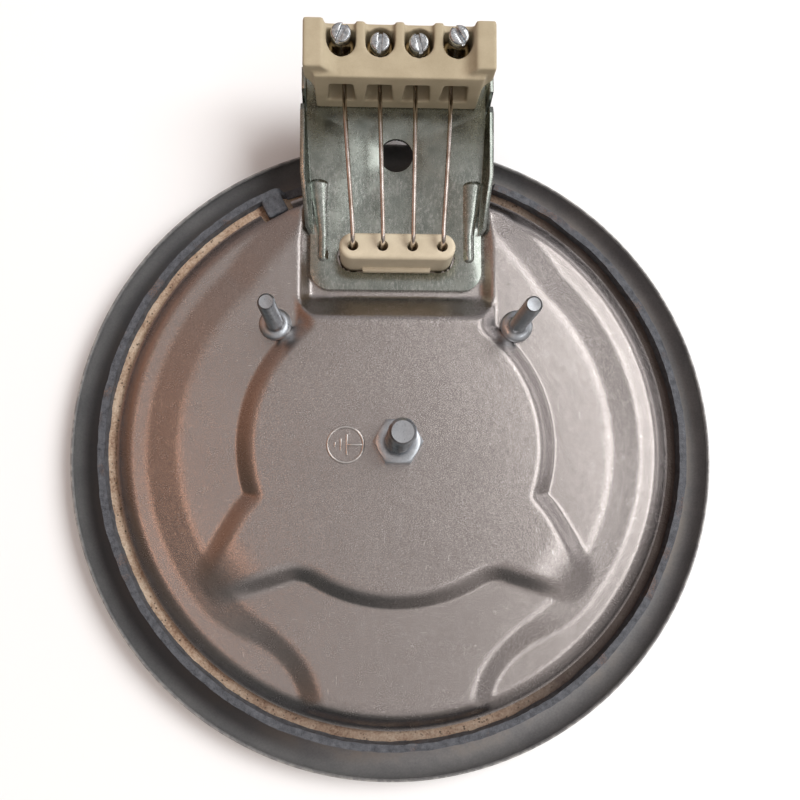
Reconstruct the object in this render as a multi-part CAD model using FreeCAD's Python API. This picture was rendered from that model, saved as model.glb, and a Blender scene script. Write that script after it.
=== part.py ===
import FreeCAD, Part
import math
import os

# A solid cast-iron hotplate of 145 mm, lying on its cooking face.
# z = 0 is the cooking face, +Z points at the underside with its studs, +Y along the terminal bracket.
# All lengths are in millimetres and all angles in degrees.

# Driving dimensions: cast-iron body
plate_radius = 72.5
plate_edge_round = 1.5
recess_radius = 17.0
recess_depth = 1.0
floor_thickness = 6.0
rim_height = 15.1
rim_setback = 1.4
rim_width = 1.7
rim_draft = 0.9
boss_radius = 8.0
channel_rib_width = 2.2
channel_rib_height = 4.6
rim_gap_start = 70.0
rim_gap_end = 114.0
rim_gap_depth = 4.6
lug_angle = 116.6
lug_width = 5.4
lug_length = 5.6

# Driving dimensions: trim ring
ring_reach = 7.5
ring_sheet = 0.6
ring_hem_height = 8.0
ring_groove_z = 2.7
ring_groove_depth = 1.2

# Driving dimensions: heating coils and their bed
coil_edge_distance = 12.4
inner_coil_radius = 26.0
coil_tube_radius = 2.0
coil_gap_angle = 16.0
bed_depth_over_rib = 1.9

# Driving dimensions: pressed cover plate
cover_sheet = 0.7
cover_gap = 2.8
cover_flange = 0.8
cover_skirt_run = 2.6
ledge_rise = 2.7
ear_rise = 2.5
plateau_rise = 2.9
ledge_width = 4.4
ear_slope_run = 8.2
plateau_slope_run = 2.5
collar_foot_gap = 0.4
lower_pocket_step = 3.1
pocket_half_angle = 38.0
lobe_setback = 0.2
lobe_outer_half_angle = 43.6
lobe_upper_half_angle = 58.2
ear_half_angle = 67.8
tongue_half_width = 17.2
tongue_flare = 4.0
tongue_setback = 6.6
tongue_blend = 8.0
seat_half_width = 21.6
seat_side_run = 1.6
seat_front_distance = 8.8
seat_front_run = 7.7
seat_corner = 3.0
form_round = 1.1
edge_reach = 0.9
corner_round = 5.0

# Driving dimensions: studs and nut
stud_diameter = 6.0
stud_core_diameter = 5.0
stud_length = 41.5
stud_tip_chamfer = 0.8
nut_width = 10.0
nut_height = 5.0
side_stud_diameter = 4.0
side_stud_height = 20.0
side_stud_side_distance = 5.7
side_stud_front_distance = 17.5
side_collar_diameter = 7.8
side_collar_height = 1.3

# Driving dimensions: terminal bracket
bracket_sheet = 1.0
bracket_half_width = 20.9
bracket_front_gap = 0.5
bracket_corner = 4.8
bracket_bend_distance = 5.4
bracket_tilt = 4.0
bracket_length = 43.5
flange_height = 6.2
flange_splay = 17.0
flange_length = 30.5
bead_x = 17.8
bead_radius = 1.5
bead_flat_length = 5.5
bead_tilted_length = 12.5
bead_height = 0.75
finger_hole_diameter = 8.2
finger_hole_run = 20.0
clip_height = 9.0
clip_length = 7.0
clip_gap = 0.6

# Driving dimensions: ceramic lead-through bush and leads
bush_length = 27.4
bush_width = 6.4
bush_height = 8.0
bush_edge_distance = 20.5
bush_hole_diameter = 2.6
bush_hole_pitch = 7.0
bush_lip_length = 16.4
bush_lip_reach = 1.0
bush_lip_height = 1.6
bush_clearance = 0.7
lead_diameter = 1.1
lead_arch = 3.2
lead_end_pitch = 8.1
lead_bend_radius = 2.2

# Driving dimensions: ceramic terminal block, in the bracket's tilted plane
block_half_width = 19.6
block_front_run = 31.7
block_depth = 12.6
block_height = 15.6
wing_half_width = 21.9
wing_thickness = 4.6
wing_rise = 2.5
wing_setback = 3.0
wing_under = 8.0
wing_slant = 4.4
terminal_pitch = 8.9
well_radius = 3.3
well_run = 8.3
divider_width = 2.2
divider_rise = 1.3
mouth_width = 6.2
mouth_height = 6.6
mouth_floor = 3.4
mouth_round = 1.4
clamp_width = 5.8
clamp_depth = 4.6
clamp_wall = 1.1
clamp_head = 2.6
clamp_seat = 0.2
clamp_corner = 1.6
screw_diameter = 4.0
screw_head_diameter = 4.6
screw_head_height = 2.6
screw_slot_width = 0.9
screw_slot_depth = 1.1
screw_lift = 1.0

# Named clearances
thread_clearance = 0.1
hole_clearance = 0.25
lug_clearance = 0.9
groove_clearance = 0.1

# Places in plan worked out from the driving dimensions
rim_outer_radius = plate_radius - rim_setback
rim_inner_radius = rim_outer_radius - rim_width
ring_radius = plate_radius + ring_reach
outer_coil_radius = rim_inner_radius - coil_edge_distance
coil_pitch = (outer_coil_radius - inner_coil_radius) / 2.0
coil_radii = [inner_coil_radius + coil_pitch * i for i in range(3)]
cover_radius = rim_inner_radius - cover_gap
skirt_foot_radius = cover_radius - cover_flange
ledge_radius = skirt_foot_radius - cover_skirt_run
ear_radius = ledge_radius - ledge_width - ear_slope_run
lobe_radius = ear_radius - lobe_setback
tongue_radius = cover_radius - tongue_setback
bush_y = cover_radius - bush_edge_distance
seat_front_y = bush_y - seat_front_distance
bracket_front_y = seat_front_y + bracket_front_gap
bracket_bend_y = bush_y + bracket_bend_distance
side_stud_x = seat_half_width + seat_side_run + side_stud_side_distance
side_stud_y = bush_y - side_stud_front_distance
collar_reach = side_collar_diameter / 2.0 + collar_foot_gap
plateau_radius = math.hypot(side_stud_x, side_stud_y) - collar_reach - plateau_slope_run
pocket_radius = plateau_radius + lower_pocket_step

# Levels worked out from the driving dimensions
bed_top = floor_thickness + channel_rib_height + bed_depth_over_rib
bed_rim_top = rim_height - 1.5
cover_edge_z = bed_rim_top + cover_sheet
ledge_z = cover_edge_z + ledge_rise
ear_z = ledge_z + ear_rise
plateau_z = ear_z + plateau_rise
bracket_top_z = ledge_z + bracket_sheet
bush_top_z = bracket_top_z + bush_height
coil_z = floor_thickness + coil_tube_radius + 0.4
terminal_x = [terminal_pitch * (i - 1.5) for i in range(4)]
bush_hole_x = [bush_hole_pitch * (i - 1.5) for i in range(4)]

UP = FreeCAD.Vector(0, 0, 1)


def point(x, y, z=0.0):
    return FreeCAD.Vector(x, y, z)


def on_circle(radius, angle, z=0.0):
    turn = math.radians(angle)
    return point(radius * math.cos(turn), radius * math.sin(turn), z)


def segment(start, end):
    return Part.LineSegment(start, end).toShape()


def arc(start, middle, end):
    return Part.Arc(start, middle, end).toShape()


def polygon_face(corners):
    return Part.Face(Part.makePolygon(list(corners) + [corners[0]]))


def turned(profile, angle=360.0):
    """A solid of revolution about Z from (radius, height) corners."""
    face = polygon_face([point(r, 0, z) for r, z in profile])
    return face.revolve(point(0, 0, 0), UP, angle)


def box(x0, x1, y0, y1, z0, z1):
    return Part.makeBox(x1 - x0, y1 - y0, z1 - z0, point(x0, y0, z0))


def cylinder(radius, x, y, z0, z1):
    return Part.makeCylinder(radius, z1 - z0, point(x, y, z0))


def slot(length, width, x, y, z0, z1):
    """An upright prism with round ends, its long side along X."""
    half = (length - width) / 2.0
    middle = box(x - half, x + half, y - width / 2.0, y + width / 2.0, z0, z1)
    ends = [cylinder(width / 2.0, x + side * half, y, z0, z1) for side in (-1, 1)]
    return middle.multiFuse(ends).removeSplitter()


def upright_edges(shape, places, reach=0.4):
    """The upright edges of a prism that stand nearest the given (x, y) places."""
    found = []
    for edge in shape.Edges:
        if len(edge.Vertexes) != 2:
            continue
        foot, head = [v.Point for v in edge.Vertexes]
        if math.hypot(foot.x - head.x, foot.y - head.y) > 0.001:
            continue
        if any(math.hypot(foot.x - x, foot.y - y) < reach for x, y in places):
            found.append(edge)
    return found


def level_edges(shape, z):
    """Every edge that lies flat at the height z."""
    flat = []
    for edge in shape.Edges:
        bounds = edge.BoundBox
        if abs(bounds.ZMin - z) < 0.01 and abs(bounds.ZMax - z) < 0.01:
            flat.append(edge)
    return flat


def tilted(shape):
    """Turn what was drawn flat about the underside of the bracket's bend, up to the bracket's slope."""
    placed = shape.copy()
    placed.rotate(point(0, bracket_bend_y, ledge_z), point(1, 0, 0), bracket_tilt)
    return placed


def run_y(distance):
    """The undrawn y of a point that lies this far past the bend line."""
    return bracket_bend_y + distance


# Cast-iron plate: cooking face, rim, concentric ribs between the coils, boss for the centre stud
def make_cast_plate():
    foot_outer = plate_radius - 0.4
    profile = [
        (0, recess_depth),
        (recess_radius - recess_depth, recess_depth),
        (recess_radius, 0),
        (plate_radius - plate_edge_round, 0),
        (plate_radius, plate_edge_round),
        (plate_radius, ring_groove_z - groove_clearance),
        (plate_radius - ring_groove_depth, ring_groove_z - groove_clearance),
        (plate_radius - ring_groove_depth, ring_groove_z + ring_sheet + groove_clearance),
        (foot_outer, ring_groove_z + ring_sheet + groove_clearance),
        (rim_outer_radius, rim_height),
        (rim_inner_radius, rim_height),
        (rim_inner_radius - rim_draft, floor_thickness),
        (0, floor_thickness),
    ]
    body = turned(profile)
    rib_top = floor_thickness + channel_rib_height
    for radius in coil_radii:
        middle = radius - coil_pitch / 2.0
        half = channel_rib_width / 2.0
        rib = turned([
            (middle - half - 0.4, floor_thickness - 0.5),
            (middle + half + 0.4, floor_thickness - 0.5),
            (middle + half, rib_top),
            (middle - half, rib_top),
        ])
        body = body.fuse(rib)
    boss = cylinder(boss_radius, 0, 0, floor_thickness - 0.5, plateau_z - cover_sheet)
    body = body.fuse(boss)
    gap_angle = rim_gap_end - rim_gap_start
    gap = turned([
        (cover_radius - 4.0, rim_height - rim_gap_depth),
        (plate_radius + 1.0, rim_height - rim_gap_depth),
        (plate_radius + 1.0, rim_height + 1.0),
        (cover_radius - 4.0, rim_height + 1.0),
    ], gap_angle)
    gap.rotate(point(0, 0, 0), UP, rim_gap_start)
    body = body.cut(gap)
    body = body.fuse(make_lug(0.0, rim_height))
    thread_radius = stud_core_diameter / 2.0 + thread_clearance
    return body.cut(cylinder(thread_radius, 0, 0, stud_foot_z(), plateau_z)).removeSplitter()


def stud_foot_z():
    """The centre stud's blind hole stops short of the cooking face."""
    return recess_depth + 4.0


def make_lug(clearance, top_z):
    """The locating lug inside the rim; the clearance grows it for the notch in the cover."""
    inner = rim_inner_radius - lug_length + 0.8 - clearance
    half = lug_width / 2.0 + clearance
    lug = box(inner, rim_outer_radius - 0.6, -half, half, floor_thickness - 0.5, top_z)
    lug.rotate(point(0, 0, 0), UP, lug_angle)
    return lug


# Trim ring: one rolled strip, held in the groove round the plate and curved out to its hem
def make_trim_ring():
    inner = plate_radius - ring_groove_depth + groove_clearance
    low = ring_groove_z
    shoulder = plate_radius + 1.2
    outer = [
        segment(point(inner, 0, low), point(shoulder, 0, low)),
        arc(point(shoulder, 0, low), point(ring_radius - 1.75, 0, low + 1.65),
            point(ring_radius, 0, ring_hem_height)),
    ]
    top = low + ring_sheet
    hem_inner = ring_radius - ring_sheet
    inner_side = [
        arc(point(hem_inner, 0, ring_hem_height), point(hem_inner - 1.62, 0, top + 1.5),
            point(shoulder - 0.1, 0, top)),
        segment(point(shoulder - 0.1, 0, top), point(inner, 0, top)),
    ]
    hem = segment(point(ring_radius, 0, ring_hem_height), point(hem_inner, 0, ring_hem_height))
    lip = segment(point(inner, 0, top), point(inner, 0, low))
    profile = Part.Wire(outer + [hem] + inner_side + [lip])
    return Part.Face(profile).revolve(point(0, 0, 0), UP, 360)


# Heating coils: three rings of wound resistance wire, each open under the lead-through bush
def make_coil(radius):
    """The winding's envelope, drawn with eight flats round its section."""
    corner = coil_tube_radius / math.cos(math.radians(22.5))
    section = []
    for i in range(8):
        place = on_circle(corner, 22.5 + 45.0 * i)
        section.append((radius + place.x, coil_z + place.y))
    coil = turned(section, 360.0 - coil_gap_angle)
    coil.rotate(point(0, 0, 0), UP, 90.0 + coil_gap_angle / 2.0)
    return coil


# Insulating compound that the coils are bedded in; it shows as a ring between rim and cover
def make_bed(cast, coils, leads):
    wall_at_bed = rim_inner_radius - rim_draft
    profile = [
        (boss_radius, floor_thickness),
        (wall_at_bed, floor_thickness),
        (rim_inner_radius - 0.16, bed_rim_top),
        (skirt_foot_radius - 0.6, bed_rim_top),
        (cover_radius - cover_skirt_run - 2.5, bed_top),
        (boss_radius, bed_top),
    ]
    bed = turned(profile)
    gap = turned([
        (cover_radius - 4.5, rim_height - rim_gap_depth),
        (plate_radius + 1.0, rim_height - rim_gap_depth),
        (plate_radius + 1.0, rim_height + 1.0),
        (cover_radius - 4.5, rim_height + 1.0),
    ], rim_gap_end - rim_gap_start)
    gap.rotate(point(0, 0, 0), UP, rim_gap_start)
    return bed.cut([cast, gap] + coils + leads)


# Pressed cover plate: three terraces, lobes between the pockets, a seat for the terminal bracket
def plateau_outline():
    """The plateau's plan: a disc with two lobes that run out between the side and lower pockets."""
    edges = []
    down = -90.0
    lobe_middle = (lobe_upper_half_angle + lobe_outer_half_angle) / 2.0
    ends = []
    for side in (1, -1):
        ends.append([
            on_circle(plateau_radius, down + side * ear_half_angle),
            on_circle(lobe_radius, down + side * lobe_upper_half_angle),
            on_circle(lobe_radius, down + side * lobe_outer_half_angle),
            on_circle(pocket_radius, down + side * pocket_half_angle),
        ])
    right, left = ends
    edges.append(arc(right[0], on_circle(plateau_radius, 90), left[0]))
    edges.append(segment(left[0], left[1]))
    edges.append(arc(left[1], on_circle(lobe_radius, down - lobe_middle), left[2]))
    edges.append(segment(left[2], left[3]))
    edges.append(arc(left[3], on_circle(pocket_radius, down), right[3]))
    edges.append(segment(right[3], right[2]))
    edges.append(arc(right[2], on_circle(lobe_radius, down + lobe_middle), right[1]))
    edges.append(segment(right[1], right[0]))
    prism = Part.Face(Part.Wire(edges)).extrude(UP)
    inner_places = [(p.x, p.y) for p in (right[0], left[0], right[3], left[3])]
    outer_places = [(p.x, p.y) for p in (right[1], left[1], right[2], left[2])]
    prism = prism.makeFillet(corner_round, upright_edges(prism, inner_places))
    prism = prism.makeFillet(corner_round * 0.6, upright_edges(prism, outer_places))
    floor = min(prism.Faces, key=lambda face: face.CenterOfMass.z)
    return floor.OuterWire


def ear_outline():
    """The plan of the level below the plateau: a disc with a tongue that runs out to the lower edge."""
    disc = cylinder(ear_radius, 0, 0, 0.0, 1.0)
    disc.rotate(point(0, 0, 0), UP, 90)
    reach = cover_radius + 3.0
    half = tongue_half_width
    corners = [point(-half, -reach), point(half, -reach), point(half + tongue_flare, -ear_radius * 0.8),
               point(-half - tongue_flare, -ear_radius * 0.8)]
    prism = disc.fuse(polygon_face(corners).extrude(UP)).removeSplitter()
    meets = []
    for edge in prism.Edges:
        place = edge.CenterOfMass
        upright = abs(edge.tangentAt(edge.FirstParameter).z) > 0.9
        if upright and abs(place.x) > half / 2.0 and -reach / 2.0 > place.y > -reach + 2.0:
            meets.append(edge)
    prism = prism.makeFillet(tongue_blend, meets)
    floor = min(prism.Faces, key=lambda face: face.CenterOfMass.z)
    return floor.OuterWire


def terrace(outline, top_z, foot_z, run, inset):
    """A raised form with sloping sides; the inset draws the same form one sheet further in."""
    slope = math.atan2(top_z - foot_z, run)
    shrink = -inset * math.tan(slope / 2.0)
    top = outline.makeOffset2D(shrink) if inset else outline.copy()
    foot = outline.makeOffset2D(shrink + run)
    top.translate(point(0, 0, top_z - inset))
    foot.translate(point(0, 0, foot_z - inset))
    return Part.makeLoft([foot, top], True, True)


def cone(foot_radius, top_radius, foot_z, top_z, inset):
    """A round terrace, drawn one inset further in."""
    slope = math.atan2(top_z - foot_z, foot_radius - top_radius)
    shrink = inset * math.tan(slope / 2.0)
    foot = point(0, 0, foot_z - inset)
    solid = Part.makeCone(foot_radius - shrink, top_radius - shrink, top_z - foot_z, foot)
    solid.rotate(point(0, 0, 0), UP, 90)
    return solid


def seat_outline(half, front, back, z):
    """A level rectangle whose two front corners are rounded."""
    turn = seat_corner * (1.0 - math.sqrt(0.5))
    left = [point(-half, front + seat_corner, z), point(-half + turn, front + turn, z),
            point(-half + seat_corner, front, z)]
    right = [point(half - seat_corner, front, z), point(half - turn, front + turn, z),
             point(half, front + seat_corner, z)]
    return Part.Wire([
        arc(*left),
        segment(left[2], right[0]),
        arc(*right),
        segment(right[2], point(half, back, z)),
        segment(point(half, back, z), point(-half, back, z)),
        segment(point(-half, back, z), left[0]),
    ])


def seat_cut(inset):
    """The space over the bracket's seat: a flat floor, a long front slope and steeper sides."""
    depth = plateau_z + 1.0 - ledge_z
    front_run = seat_front_run * depth / (plateau_z - ledge_z)
    side_run = seat_side_run * depth / (plateau_z - ledge_z)
    grow_front = inset * math.tan(math.atan2(depth, front_run) / 2.0)
    grow_side = inset * math.tan(math.atan2(depth, side_run) / 2.0)
    wires = []
    for z, run_f, run_s in ((ledge_z, 0.0, 0.0), (ledge_z + depth, front_run, side_run)):
        half = seat_half_width + grow_side + run_s
        front = seat_front_y - grow_front - run_f
        back = cover_radius + 5.0
        wires.append(seat_outline(half, front, back, z - inset))
    return Part.makeLoft(wires, True, True)


def cover_form(inset):
    """The whole pressed form as a solid block, drawn one inset further in."""
    base = cone(skirt_foot_radius, ledge_radius, cover_edge_z, ledge_z, inset)
    if not inset:
        base = base.fuse(cylinder(cover_radius, 0, 0, bed_rim_top, cover_edge_z))
    mid = terrace(ear_outline(), ear_z, ledge_z, ear_slope_run, inset)
    mid = mid.common(cone(skirt_foot_radius, tongue_radius, cover_edge_z, ear_z, inset))
    full_run = plateau_slope_run * (plateau_z - ledge_z) / plateau_rise
    plateau = terrace(plateau_outline(), plateau_z, ledge_z, full_run, inset)
    return base.multiFuse([mid, plateau]).cut(seat_cut(inset)).removeSplitter()


def chosen(form, z, keep):
    """The level edges at this height whose middle point, its radius and the edge's length pass the test."""
    found = []
    for edge in level_edges(form, z):
        middle = edge.valueAt((edge.FirstParameter + edge.LastParameter) / 2.0)
        if keep(middle, math.hypot(middle.x, middle.y), edge.Length):
            found.append(edge)
    return found


def is_ear_arc(middle, radius, length):
    return abs(radius - ear_radius) < edge_reach and length > ear_radius * 0.6


def is_tongue_arc(middle, radius, length):
    return abs(radius - tongue_radius) < edge_reach and length > tongue_half_width * 0.9


def is_seat_side(middle, radius, length):
    """The sides of the seat where they cut the ears' level."""
    half = seat_half_width + seat_side_run * ear_rise / (ear_rise + plateau_rise)
    return abs(abs(middle.x) - half) < edge_reach and middle.y > seat_front_y - seat_front_run


def is_side_pocket_foot(middle, radius, length):
    """The plateau's foot between each lobe and the seat."""
    lobe_tip_y = lobe_radius * math.cos(math.radians(lobe_upper_half_angle))
    return radius < ear_radius - ear_slope_run / 3.0 and abs(middle.y) < lobe_tip_y


def is_ledge_arc(middle, radius, length):
    return abs(radius - ledge_radius) < edge_reach * 0.4


def is_seat_foot(middle, radius, length):
    inside = abs(middle.x) < seat_half_width + edge_reach and middle.y > seat_front_y - edge_reach
    return inside and radius < ledge_radius - ledge_width / 2.0


def rounded_levels(form, inset):
    """Round the edges of the terraces, tighter inside the sheet on the outward bends."""
    bend = form_round - inset * 0.9
    form = form.makeFillet(bend, level_edges(form, plateau_z - inset))
    rounds = [
        (ear_z, bend, is_ear_arc),
        (ear_z, bend, is_tongue_arc),
        (ear_z, bend, is_seat_side),
        (ear_z, form_round * 0.7, is_side_pocket_foot),
        (ledge_z, form_round * 0.3, is_ledge_arc),
        (ledge_z, form_round * 0.7, is_seat_foot),
    ]
    for z, radius, keep in rounds:
        form = form.makeFillet(radius, chosen(form, z - inset, keep))
    return form


def make_cover_plate():
    outer = rounded_levels(cover_form(0.0), 0.0)
    inner = rounded_levels(cover_form(cover_sheet), cover_sheet)
    cover = outer.cut(inner)
    bush_room = 2.0 * hole_clearance
    holes = [
        cylinder(stud_diameter / 2.0 + hole_clearance, 0, 0, bed_top, plateau_z + 1.0),
        slot(bush_length + bush_room, bush_width + bush_room, 0, bush_y, bed_top, ear_z + 1.0),
        make_lug(lug_clearance, ear_z),
    ]
    return cover.cut(holes)


# Centre stud and its nut
def make_centre_stud():
    """A threaded stud; the length held in boss and nut is drawn at the thread's core."""
    radius = stud_diameter / 2.0
    held = stud_core_diameter / 2.0
    foot = stud_foot_z()
    top = foot + stud_length
    free_z = plateau_z + nut_height
    return turned([
        (0, foot),
        (held - stud_tip_chamfer, foot),
        (held, foot + stud_tip_chamfer),
        (held, free_z),
        (radius, free_z),
        (radius, top - stud_tip_chamfer),
        (radius - stud_tip_chamfer, top),
        (0, top),
    ])


def make_centre_nut():
    corner = nut_width / math.sqrt(3.0)
    corners = [on_circle(corner, 60.0 * i, plateau_z) for i in range(6)]
    nut = polygon_face(corners).extrude(UP * nut_height)
    chamfer = corner - nut_width / 2.0
    rounder = turned([
        (0, plateau_z),
        (corner - chamfer * 0.4, plateau_z),
        (corner + 0.05, plateau_z + chamfer * 0.4),
        (corner + 0.05, plateau_z + nut_height - chamfer * 0.7),
        (corner - chamfer * 1.2, plateau_z + nut_height),
        (0, plateau_z + nut_height),
    ])
    bore_radius = stud_core_diameter / 2.0 + thread_clearance
    bore = cylinder(bore_radius, 0, 0, plateau_z - 1.0, plateau_z + nut_height + 1.0)
    return nut.common(rounder).cut(bore)


# Side studs, each upset to a round collar that is welded to the cover
def make_side_stud(side):
    radius = side_stud_diameter / 2.0
    collar = side_collar_diameter / 2.0
    top = ear_z + side_stud_height
    stud = turned([
        (0, ear_z),
        (collar - 0.2, ear_z),
        (collar, ear_z + 0.25),
        (collar - 0.15, ear_z + 0.6),
        (radius + 0.8, ear_z + side_collar_height),
        (radius, ear_z + side_collar_height + 0.6),
        (radius, top - 0.5),
        (radius - 0.5, top),
        (0, top),
    ])
    stud.translate(point(side * side_stud_x, side_stud_y, 0))
    return stud


# Terminal bracket: a zinc-plated strip with splayed side flanges, two beads and clips for the block
def make_flange(side):
    inner = bracket_half_width - bracket_sheet
    z0 = bracket_top_z - bracket_sheet
    outline = [
        (0.0, z0),
        (flange_length, z0),
        (flange_length, bracket_top_z + flange_height * 0.8),
        (flange_length - 2.0, bracket_top_z + flange_height),
        (flange_length * 0.45, bracket_top_z + flange_height * 0.9),
        (1.6, bracket_top_z + 1.2),
        (0.0, bracket_top_z - 0.4),
    ]
    face = polygon_face([point(inner, run_y(run), z) for run, z in outline])
    flange = face.extrude(point(bracket_sheet, 0, 0))
    flange.rotate(point(bracket_half_width, run_y(0), z0), point(0, 1, 0), flange_splay)
    if side < 0:
        flange = flange.mirror(point(0, 0, 0), point(1, 0, 0))
    return flange


def make_clip(side):
    """An ear of the bracket that stands up beside the terminal block and holds it."""
    inner = bracket_half_width - bracket_sheet
    z0 = bracket_top_z - bracket_sheet
    start = flange_length + clip_gap
    outline = [
        (start, z0),
        (start + clip_length, z0),
        (start + clip_length - 0.8, bracket_top_z + clip_height),
        (start + 1.0, bracket_top_z + clip_height),
    ]
    face = polygon_face([point(inner, run_y(run), z) for run, z in outline])
    clip = face.extrude(point(bracket_sheet, 0, 0))
    clip.rotate(point(bracket_half_width, run_y(0), z0), point(0, 1, 0), flange_splay * 0.6)
    if side < 0:
        clip = clip.mirror(point(0, 0, 0), point(1, 0, 0))
    return clip


def bead_solid(side, radius, lift):
    """A round-backed rib along the bracket, across its bend."""
    x = side * bead_x
    z = bracket_top_z - radius + lift
    flat = Part.makeCylinder(radius, bead_flat_length, point(x, run_y(-bead_flat_length), z), point(0, 1, 0))
    start = Part.makeSphere(radius, point(x, run_y(-bead_flat_length), z))
    sloped = Part.makeCylinder(radius, bead_tilted_length, point(x, run_y(0), z), point(0, 1, 0))
    end = Part.makeSphere(radius, point(x, run_y(bead_tilted_length), z))
    return start.multiFuse([flat, tilted(sloped.fuse(end))])


def make_bracket():
    lean = math.radians(bracket_tilt)
    length = bracket_length
    low = bracket_top_z - bracket_sheet
    end_low = (run_y(0) + length * math.cos(lean), low + length * math.sin(lean))
    profile = [
        (bracket_front_y, low),
        (run_y(0), low),
        end_low,
        (end_low[0] - bracket_sheet * math.sin(lean), end_low[1] + bracket_sheet * math.cos(lean)),
        (run_y(0) - bracket_sheet * math.tan(lean / 2.0), bracket_top_z),
        (bracket_front_y, bracket_top_z),
    ]
    face = polygon_face([point(-bracket_half_width, y, z) for y, z in profile])
    plate = face.extrude(point(2 * bracket_half_width, 0, 0))
    corner_places = [(side * bracket_half_width, bracket_front_y) for side in (-1, 1)]
    plate = plate.makeFillet(bracket_corner, upright_edges(plate, corner_places))
    raised = [bead_solid(side, bead_radius, bead_height) for side in (-1, 1)]
    sides = [tilted(make_flange(side)) for side in (-1, 1)]
    clips = [tilted(make_clip(side)) for side in (-1, 1)]
    bracket = plate.multiFuse(raised + sides + clips)
    under = box(-bracket_half_width, bracket_half_width, bracket_front_y, run_y(0), low - 5.0, low)
    under_tilted = box(-bracket_half_width, bracket_half_width, run_y(-2), run_y(length), low - 5.0, low)
    under_tilted.rotate(point(0, run_y(0), low), point(1, 0, 0), bracket_tilt)
    hollow_radius = bead_radius - bracket_sheet * 0.6
    hollow_lift = bead_height - bracket_sheet * 0.6 - 0.25
    hollows = [bead_solid(side, hollow_radius, hollow_lift) for side in (-1, 1)]
    opening_length = bush_length + 2.0 * bush_clearance
    opening_width = bush_width + 2.0 * bush_clearance
    opening = slot(opening_length, opening_width, 0, bush_y, low - 1.0, bracket_top_z + 3.0)
    hole_radius = finger_hole_diameter / 2.0
    hole = tilted(cylinder(hole_radius, 0, run_y(finger_hole_run), low - 2.0, bracket_top_z + 2.0))
    return bracket.cut([under, under_tilted, opening, hole] + hollows).removeSplitter()


# Ceramic bush that leads the four wires out through cover and bracket
def make_bush():
    body = slot(bush_length, bush_width, 0, bush_y, bed_top, bush_top_z)
    body = body.makeFillet(0.9, level_edges(body, bush_top_z))
    lip_front = bush_y - bush_width / 2.0 - bush_lip_reach
    lip = box(-bush_lip_length / 2.0, bush_lip_length / 2.0, lip_front, bush_y, bracket_top_z,
              bracket_top_z + bush_lip_height)
    lip = lip.makeFillet(0.5, [edge for edge in lip.Edges if abs(edge.CenterOfMass.y - lip_front) < 0.01])
    body = body.fuse(lip)
    holes = []
    for x in bush_hole_x:
        holes.append(cylinder(bush_hole_diameter / 2.0, x, bush_y, bed_top - 1.0, bush_top_z + 1.0))
    return body.cut(holes)


# Lead wires: up from the coils through the bush, over in a flat arch, into the clamps
def lead_points(index):
    start_x = bush_hole_x[index]
    end_x = lead_end_pitch * (index - 1.5)
    flat_end = tilted(Part.Vertex(end_x, run_y(block_front_run - 1.0), wire_seat_z())).Point
    deep_end = tilted(Part.Vertex(end_x, run_y(clamp_run() + 0.4), wire_seat_z())).Point
    rise = bush_top_z + lead_arch
    return [
        point(start_x, bush_y, coil_z + coil_tube_radius),
        point(start_x, bush_y, rise - 1.0),
        point(start_x * 0.7 + end_x * 0.3, bush_y + 12.0, rise),
        point(start_x * 0.3 + end_x * 0.7, bush_y + 25.0, rise - 0.4),
        flat_end,
        deep_end,
    ]


def wire_seat_z():
    """The undrawn height of a lead's axis on the floor of its clamp."""
    return bracket_top_z + mouth_floor + clamp_seat + clamp_wall + lead_diameter / 2.0 + 0.05


def clamp_run():
    return block_front_run + well_run


def rounded_path(points):
    """Straight runs joined by tangent arcs: a tight first bend, the others as large as their runs allow."""
    edges = []
    start = points[0]
    for before, corner, after in zip(points, points[1:], points[2:]):
        into = (corner - before)
        out = (after - corner)
        turn = into.getAngle(out)
        if turn < 0.001:
            continue
        radius = 0.42 * min(into.Length, out.Length) / math.tan(turn / 2.0)
        if before == points[0]:
            radius = lead_bend_radius
        cut_back = radius * math.tan(turn / 2.0)
        first = corner - into.normalize() * cut_back
        last = corner + out.normalize() * cut_back
        chord_middle = (first + last) * 0.5
        toward = (corner - chord_middle)
        depth = radius - radius * math.cos(turn / 2.0)
        middle = chord_middle + toward.normalize() * depth
        edges.append(segment(start, first))
        edges.append(arc(first, middle, last))
        start = last
    edges.append(segment(start, points[-1]))
    return Part.Wire(edges)


def make_lead(index):
    points = lead_points(index)
    path = rounded_path(points)
    profile = Part.Wire(Part.makeCircle(lead_diameter / 2.0, points[0], UP))
    return path.makePipeShell([profile], True, False)


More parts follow.
